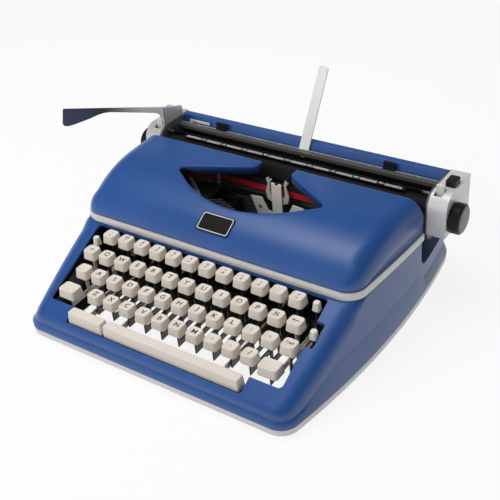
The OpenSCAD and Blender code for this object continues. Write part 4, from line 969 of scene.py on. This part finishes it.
skin_cap = cap_grid(CAP_W, CAP_D, CAP_H, CAP_DISH, OVERLAY)
for name in SINGLE:
    solid(name + "_cap", spread(skin_cap, [single_place(name)]), key_cream, name, "key_plastic")
shift_cap = cap_grid(SHIFT_W, SHIFT_D, CAP_H, SHIFT_DISH, OVERLAY)
solid("shift_caps", spread(shift_cap, SHIFT_KEYS), key_cream, "shift", "key_plastic")
for name, (x, width) in BARS.items():
    bar = cap_grid(width, BAR_D, BAR_H, 0.0, OVERLAY, BAR_CORNER)
    solid(name + "_skin", spread(bar, [(x, BAR_Y, BAR_TOP - BAR_H)]), key_cream, name, "key_plastic")
print("skins:", len(SINGLE) + 1 + len(BARS))

# %% [markdown]
# Three small levers look out beside the keys, each a blade on a hub with a square finger tab. Each part
# is a stack of rings: the tab is a little key cap, the blade a bar, the hub a round rod across.
# Together they take the place of the plain solid lever.

# %% Side levers
TABS = {
    "selector": ("ribbon_selector", (129.8, 72.4, 51.0), (128.8, 134.7)),
    "touch": ("touch_lever", (-122.6, 87.5, 58.0), (-134.7, -121.6)),
    "reverse": ("ribbon_reverse_lever", (120.2, 94.6, 62.0), (119.2, 134.7))}
TAB_W, TAB_D, TAB_H, TAB_DISH, TAB_CORNER, TAB_RISE = 7.4, 7.0, 8.5, 0.25, 1.9, 4.2
STUB_Z, HUB_R = 25.0, 3.5

tab_cap = cap_grid(TAB_W, TAB_D, TAB_H, TAB_DISH, corner=TAB_CORNER)
blade_ring = rounded_rings([1.0, 1.0], [2.0, 2.0], [0.3, 0.3])
hub_turn = circle(28)
for body, (node, (x, y, z), (hub_in, hub_out)) in TABS.items():
    tab_place = [(x, y, z + TAB_RISE - TAB_H)]
    tab = solid(body + "_tab", spread(tab_cap, tab_place), white_plastic, body, "white_plastic")
    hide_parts(node)
    blade = lifted(blade_ring, np.array([[STUB_Z + 1], [z]]))
    solid(body + "_blade", blade + [x, y, 0], dark_steel, body, "dark_steel")
    rod = np.stack([y + HUB_R * np.cos(hub_turn), STUB_Z + HUB_R * np.sin(hub_turn)], axis=-1)
    solid(body + "_hub", prism(rod, hub_in, hub_out), dark_steel, body, "dark_steel")
print("side levers:", len(TABS))

# %% [markdown]
# Key legends are moulded into the caps in a second plastic. A picture could carry them, but a mesh
# keeps its edge at any distance. Blender's own text gives the outlines: a text curve is made a mesh,
# read as triangles and removed again.

# %% Text as triangles
HEAVY = 0.014


def glyphs(words, size):
    """Text as corners (n, 3) and triangles (m, 3) about its middle, z +1 on its face and -1 behind."""
    curve = bpy.data.curves.new("legend", "FONT")
    curve.body, curve.size, curve.extrude, curve.resolution_u = words, size, 1.0, 3
    curve.align_x, curve.align_y, curve.offset = "CENTER", "CENTER", HEAVY * size
    holder = placed("legend", curve)
    settled = holder.evaluated_get(bpy.context.evaluated_depsgraph_get())
    mesh = bpy.data.meshes.new_from_object(settled)
    mesh.calc_loop_triangles()
    corners = np.empty(3 * len(mesh.vertices), np.float32)
    triangles = np.empty(3 * len(mesh.loop_triangles), np.int32)
    mesh.vertices.foreach_get("co", corners)
    mesh.loop_triangles.foreach_get("vertices", triangles)
    bpy.data.objects.remove(holder)
    bpy.data.curves.remove(curve)
    bpy.data.meshes.remove(mesh)
    corners = corners.reshape(-1, 3).astype(float)
    corners[:, :2] -= (corners[:, :2].min(axis=0) + corners[:, :2].max(axis=0)) / 2
    return corners, triangles.reshape(-1, 3)


print("text function ready")

# %% [markdown]
# Each legend is moved to its cap and let down into the dish by the dish's own formula, so it lies on
# the curved top. All the legends of a row are one mesh. They are the letters, figures and marks that
# any typewriter has.

# %% Legends
INK_UP, INK_DOWN = 0.05, 0.12


def on_cap(marks, place, shift, lift=0.0):
    """Moves a legend to its place on a cap and lets it down into the dish; its back goes below the skin."""
    corners, triangles = marks
    x, y = corners[:, 0], corners[:, 1] + shift
    sunk = dish(x, y, CAP_W / 2 - CAP_RIM, CAP_D / 2 - CAP_RIM, CAP_DISH)
    z = CAP_H + lift - sunk + np.where(corners[:, 2] > 0, INK_UP, -INK_DOWN)
    return np.stack([x, y, z], axis=-1) + place, triangles


def printed(name, prints, body, material=legend_ink, slot="key_plastic"):
    """One mesh from several legends: their corners in one list, their triangles counted on."""
    starts = np.cumsum([0] + [len(corners) for corners, _ in prints])
    places = np.concatenate([corners for corners, _ in prints])
    faces = np.concatenate([triangles + start for (_, triangles), start in zip(prints, starts)])
    return piece(name, places, faces.tolist(), material, body, slot, crease=30.0)


def row_prints(row, words, size, shift):
    """One legend for each cap of a row."""
    return [on_cap(glyphs(word, size), place, shift) for word, place in zip(words, row_places(*ROWS[row]))]


LETTERS = {"top_row": list("QWERTYUIOP") + ["½"], "home_row": list("ASDFGHJKL;") + ["'"],
           "bottom_row": list("ZXCVBNM,./")}
DIGITS, SIGNS = "1234567890-=", "!@#$%¢&*()_+"
LETTER_SIZE, SMALL_SIZE, LETTER_Y, TIER_Y = 7.4, 4.6, 0.3, 2.35

for row, letters in LETTERS.items():
    printed(row + "_legends", row_prints(row, letters, LETTER_SIZE, LETTER_Y), row)
printed("number_row_legends", row_prints("number_row", DIGITS, SMALL_SIZE, -TIER_Y)
        + row_prints("number_row", SIGNS, SMALL_SIZE, TIER_Y), "number_row")
print("legends in rows:", 2 * len(DIGITS) + sum(len(v) for v in LETTERS.values()))

# %% [markdown]
# Three keys carry signs instead of letters: an arrow to the left on the backspace, two arrow heads and
# a bar on the margin release, and the word on the tabulator. Not every font has such arrows, so they
# are short outlines made into thin slabs.

# %% Signs on single keys
def slab(outline):
    """An outline as corners and triangles of a thin slab: a fan on its face, one behind, and its walls."""
    n = len(outline)
    corners = np.concatenate([np.insert(outline, 2, z, axis=1) for z in (1.0, -1.0)])
    fan = np.stack([np.zeros(n - 2, int), np.arange(1, n - 1), np.arange(2, n)], axis=-1)
    i, j = np.arange(n), np.roll(np.arange(n), -1)
    walls = np.concatenate([np.stack([i, i + n, j + n], axis=-1), np.stack([i, j + n, j], axis=-1)])
    return corners, np.concatenate([fan, fan[:, ::-1] + n, walls])


HEAD = np.array([[-4.0, 0.0], [-1.6, -1.2], [-1.6, 1.2]])
SHAFT = np.array([[-1.7, -0.35], [3.8, -0.35], [3.8, 0.35], [-1.7, 0.35]])
BAR = np.array([[-0.3, -1.6], [0.3, -1.6], [0.3, 1.6], [-0.3, 1.6]])
SIGN_PARTS = {
    "backspace": [HEAD, SHAFT],
    "margin_release": [HEAD * 0.8 + [0.2, 0], (HEAD * [-0.8, 0.8] - [0.2, 0])[::-1], BAR]}
SIGN_Y, WORD_Y, WORD_SIZE = 0.6, 0.8, 4.2

for name, outlines in SIGN_PARTS.items():
    marks = [on_cap(slab(outline), single_place(name), SIGN_Y, OVERLAY) for outline in outlines]
    printed(name + "_sign", marks, name)
printed("tab_sign", [on_cap(glyphs("TAB", WORD_SIZE), single_place("tab"), WORD_Y, OVERLAY)], "tab")
print("signs: 3")

# %% [markdown]
# Through the eye one sees the tails of the typebars at each side of the cream guide, stacked like the
# teeth of a comb. Each is a thin bar between two points, and the ends of all of them lie on two
# straight lines. A second group lies further out, painted paler as a painted glint of light on them.
# The guide's slotted screw is a turned profile and a thin bar.

# %% Typebar tails and guide screw
PRINT_X = 8.0
TAIL_COUNT, FAR_COUNT = 10, 5
TAIL_IN = np.array([[-20.4, 214.9, 66.6], [-13.6, 214.9, 47.1]])
TAIL_OUT = np.array([[-46.4, 217.5, 58.9], [-39.8, 217.5, 39.9]])
FAR_IN = np.array([[-64.0, 215.5, 50.2], [-48.2, 215.5, 43.6]])
FAR_OUT = np.array([[-87.5, 218.0, 43.1], [-71.1, 218.0, 38.3]])
TAIL_SECTION = np.array([[0.0, -0.7, 0.5], [0.0, 0.7, 0.5], [0.0, 0.7, -0.5], [0.0, -0.7, -0.5]])


def tails(inner, outer, count):
    """Bars between matching shares of two lines: their ends, each with the section's four corners."""
    share = np.linspace(0, 1, count)[:, None]
    ends = np.stack([line[0] + share * (line[1] - line[0]) for line in (inner, outer)], axis=1)
    left = ends[:, :, None] + TAIL_SECTION
    right = (left * [-1, 1, 1] + [2 * PRINT_X, 0, 0])[:, ::-1]
    return np.concatenate([left, right])


solid("typebar_tails", tails(TAIL_IN, TAIL_OUT, TAIL_COUNT), grey_enamel, "basket", "steel")
# The far tails are the same typebars, painted paler: painted glint.
solid("far_tails", tails(FAR_IN, FAR_OUT, FAR_COUNT), silver_painted_highlight, "basket", "steel")

SCREW_X, SCREW_Y, SCREW_Z, SCREW_R = -12.4, 211.05, 60.2, 2.4
screw_out = np.array([0.0, 0.45, 0.75, 0.9])[:, None]
screw_r = SCREW_R * np.array([1.0, 1.0, 0.85, 0.1])[:, None]
screw_turn = circle(24)
screw_x, screw_z = SCREW_X + screw_r * np.cos(screw_turn), SCREW_Z + screw_r * np.sin(screw_turn)
screw = np.stack([screw_x, np.broadcast_to(SCREW_Y - screw_out, screw_x.shape), screw_z], axis=-1)
solid("guide_screw", screw, satin_silver, "chassis", "steel")
slot_ring = rounded_rings([0.35, 0.35], [2.1, 2.1], [0.1, 0.1])
slot_y = np.broadcast_to(SCREW_Y - np.array([[0.5], [0.97]]), slot_ring.shape[:2])
slot = np.stack([SCREW_X + slot_ring[..., 0], slot_y, SCREW_Z + slot_ring[..., 1]], axis=-1)
solid("guide_screw_slot", slot, dark_steel, "chassis", "dark_steel")
print("tails of typebars:", 2 * (TAIL_COUNT + FAR_COUNT))

# %% [markdown]
# The paper bail carries a printed scale: black, with a white mark at every tenth of an inch and a
# number at every inch. The marks are worked out in the strip's own tilted directions, like the strip
# and the numbers.

# %% Bail scale
PLATEN_Y, PLATEN_Z, BAIL_TILT = 237.0, 86.6, math.radians(8)
SCALE_R, SCALE_HALF, SCALE_WIDE, SCALE_THICK, NUMBER_SIZE = 18.95, 126.2, 2.95, 0.35, 4.6
TICK_LOW, TICK_HIGH = -0.0024, 0.0012


def on_bail(across, up):
    """From the strip's own width and height above the platen's axis to stations y and z."""
    y = PLATEN_Y + across * math.cos(BAIL_TILT) - up * math.sin(BAIL_TILT)
    z = PLATEN_Z + across * math.sin(BAIL_TILT) + up * math.cos(BAIL_TILT)
    return np.stack([y, z], axis=-1)


def scale_finish():
    """Black with marks where the way along, in tenths, has a small remainder; none beside the numbers."""
    material, shade, shader = finish("bail_scale_ink", {"IOR": 1.5})
    place, (x, y, z) = own_place(shade)
    middle = at([PRINT_X, *on_bail(np.zeros(1), np.zeros(1))[0]])
    across = (y - middle[1]) * math.cos(BAIL_TILT) + (z - middle[2]) * math.sin(BAIL_TILT)
    run = (x - middle[0]) / (TENTH / 1000)
    near_tick = ((run + 0.22) % 1.0) < 0.44
    high = (across > TICK_LOW) * (across < TICK_HIGH)
    at_number = ((run + 1.6) % 10.0) < 3.2
    tick = near_tick * high * (1 - at_number)
    wear_spots = cloudy(shade, place, 700.0)
    colour = tick.mix(srgb(24, 24, 25), srgb(226, 226, 222))
    feed(shade, shader, Base_Color=colour, Roughness=0.38 + 0.12 * wear_spots)
    return material


scale_ink = scale_finish()
strip_ring = rounded_rings([SCALE_WIDE], [SCALE_THICK / 2], [0.15])[0]
strip_profile = on_bail(strip_ring[:, 0], strip_ring[:, 1] + SCALE_R + SCALE_THICK / 2)
strip = prism(strip_profile, PRINT_X - SCALE_HALF, PRINT_X + SCALE_HALF)
solid("bail_scale", strip, scale_ink, "bail", "black_plastic")

number_prints = []
for inch in range(-4, 5):
    corners, triangles = glyphs(str(10 * (inch + 5)), NUMBER_SIZE)
    lie = on_bail(corners[:, 1], SCALE_R + SCALE_THICK + 0.02 * (1 + corners[:, 2]))
    shifted = np.insert(lie, 0, corners[:, 0] + PRINT_X + 10 * TENTH * inch, axis=1)
    number_prints.append((shifted, triangles))
printed("bail_numbers", number_prints, "bail", white_plastic, "white_plastic")
print("scale length, mm:", 2 * SCALE_HALF)

# %% [markdown]
# The badge keeps a bare black face inside a pale line. The line could be painted by a mask, but a
# raised one catches the light. It is a small profile carried round a rounded rectangle, then tilted on
# to the slope of the cover's front.

# %% Badge line
BADGE_Y, BADGE_Z, BADGE_TILT, BADGE_TOP = 121.5, 92.352, math.radians(30.735), 1.45
BADGE_HALF_W, BADGE_HALF_D, BADGE_R = 17.5, 9.5, 2.6
LINE_IN, LINE_OUT, LINE_H, LINE_SUNK = 1.5, 0.75, 0.18, -0.4
line_inset = np.array([LINE_IN, LINE_OUT, LINE_OUT, LINE_IN])
line_rise = np.array([LINE_SUNK, LINE_SUNK, LINE_H, LINE_H])
line_plan = rounded_rings(
    BADGE_HALF_W - line_inset, BADGE_HALF_D - line_inset, BADGE_R - line_inset * 0.6)
line_up = np.broadcast_to((BADGE_TOP + line_rise)[:, None], line_plan.shape[:2])
line_grid = np.stack([
    line_plan[..., 0],
    BADGE_Y + line_plan[..., 1] * math.cos(BADGE_TILT) - line_up * math.sin(BADGE_TILT),
    BADGE_Z + line_plan[..., 1] * math.sin(BADGE_TILT) + line_up * math.cos(BADGE_TILT)], axis=-1)
surface("badge_line", line_grid, white_plastic, "cover", "badge_metal", ring=True, loop=True)
print("badge, mm:", 2 * BADGE_HALF_W, "by", 2 * BADGE_HALF_D)

# %% [markdown]
# Each platen knob has a grey inlay on its end, slightly domed. A Screw modifier could turn it; here a
# profile is turned round the platen's axis as one array. The left one is the right one mirrored, with
# its rings reversed, so that its faces still point outwards.

# %% Knob inlays
KNOB_END = 171.3 + 0.7 + 10.4
INLAY_PROFILE = np.array([
    [-0.3, 12.6], [0.25, 12.6], [0.5, 12.2], [0.7, 11.0], [0.85, 8.0], [0.95, 4.0], [1.0, 0.2]])


def turned(profile, count):
    """A profile of (out along x, radius) turned round the platen's axis."""
    turn = circle(count)
    out, radius = profile[:, :1], profile[:, 1:]
    return np.stack([np.broadcast_to(out, (len(profile), count)), PLATEN_Y + radius * np.cos(turn),
                     PLATEN_Z + radius * np.sin(turn)], axis=-1)


inlay = turned(INLAY_PROFILE, 48)
right_inlay = inlay + [PRINT_X + KNOB_END, 0, 0]
left_inlay = (inlay * [-1, 1, 1] + [PRINT_X - KNOB_END, 0, 0])[:, ::-1]
knob_grey = moulded("knob_grey", srgb(120, 121, 123), srgb(108, 109, 111), 0.4)
solid("knob_inlays", [right_inlay, left_inlay], knob_grey, "platen_roll", "black_plastic")
print("inlays: 2")

# %% [markdown]
# The table is a wide pale sheet. A camera sees it nearly white, as in a studio, but a share of the real
# light stays in it, so the machine keeps its shadow. Mirrors see the same white.

# %% Floor
FLOOR_HALF, FLOOR_LIT = 6.0, 0.14


def seen_directly(shade):
    """1 for rays that come from the camera, a mirror or glass, 0 for light that scatters."""
    path = shade.node("ShaderNodeLightPath").socket.node.outputs
    camera_ray, glossy, through = (
        Shade(shade.tree, path[n]) for n in ("Is Camera Ray", "Is Glossy Ray", "Is Transmission Ray"))
    return (camera_ray + glossy + through) > 0.5


floor_mesh = bpy.data.meshes.new("floor")
floor_corners = FLOOR_HALF * np.array([[-1, -1, 0], [1, -1, 0], [1, 1, 0], [-1, 1, 0]])
floor_mesh.from_pydata(floor_corners.tolist(), [], [(0, 1, 2, 3)])
floor = placed("floor", floor_mesh)
sheet = bpy.data.materials.new("pale_sheet")
sheet.use_nodes = True
sheet.node_tree.nodes.clear()
on_sheet = Shade(sheet.node_tree)
matt = on_sheet.node("ShaderNodeBsdfDiffuse", sockets={"Color": srgb(240, 240, 240)})
white = on_sheet.node("ShaderNodeEmission", sockets={"Color": (1, 1, 1, 1), "Strength": 1.0})
pale = on_sheet.node("ShaderNodeMixShader", sockets={0: FLOOR_LIT, 1: white, 2: matt})
both = on_sheet.node("ShaderNodeMixShader", sockets={0: seen_directly(on_sheet), 1: matt, 2: pale})
on_sheet.node("ShaderNodeOutputMaterial", sockets={"Surface": both})
wear(floor, sheet)
print("floor, m across:", 2 * FLOOR_HALF)

# %% [markdown]
# The world lights softly from all round. What the camera and mirrors see of it is another matter: white
# along the horizon, and for mirrors a dimmer ceiling above, which gives the enamel its deeper tops.

# %% World
WORLD_SOFT, CEILING, HORIZON, CEILING_LOW, CEILING_HIGH = 0.26, 0.08, 0.88, 0.05, 0.5
world = bpy.data.worlds.new("studio")
bpy.context.scene.world = world
world.use_nodes = True
world.node_tree.nodes.clear()
around = Shade(world.node_tree)
direction = around.node("ShaderNodeTexCoord", out=0)
upward = around.node("ShaderNodeSeparateXYZ", sockets={0: direction}, out=2)
ceiling = around.node("ShaderNodeMapRange", sockets={
    0: upward, 1: CEILING_LOW, 2: CEILING_HIGH, 3: 1.0, 4: CEILING})
in_view = Shade(world.node_tree, around.node("ShaderNodeLightPath").socket.node.outputs["Is Camera Ray"])
shown = HORIZON * in_view + (1 - in_view) * ceiling
strength = WORLD_SOFT + (shown - WORLD_SOFT) * seen_directly(around)
backdrop = around.node("ShaderNodeBackground", sockets={"Color": (1, 1, 1, 1), "Strength": strength})
around.node("ShaderNodeOutputWorld", sockets={"Surface": backdrop})
print("world:", world.name)

# %% [markdown]
# Three soft lamps: the main one overhead, a wide one in front on the left that lightens the shade, and
# a small one above on the left. Only the small one shows in the gloss, as the sheen on the right of the
# cover's front, because the others would wash out the deep blue of the tops.

# %% Lamps
MIDDLE = (0, 150, 60)


def lamp(name, place, target, width, watts, mirrored=False):
    """A square soft lamp at that station, turned to face the target; gloss shows it only if mirrored."""
    data = bpy.data.lights.new(name, "AREA")
    data.size = width
    data.energy = watts
    made = placed(name, data)
    back = at(place) - at(target)
    back /= np.linalg.norm(back)
    side = np.cross([0, 0, 1], back)
    side /= np.linalg.norm(side)
    stand(made, side, np.cross(back, side), back, place)
    made.visible_glossy = mirrored


lamp("main_lamp", (0, 180, 1700), MIDDLE, 0.9, 10)
lamp("fill_lamp", (-900, -900, 1000), MIDDLE, 1.2, 14)
lamp("sheen_lamp", (-420, 240, 1300), (110, 130, 97), 0.5, 2.6, mirrored=True)
bpy.context.scene.view_settings.view_transform = "Standard"
print("lamps: 3")
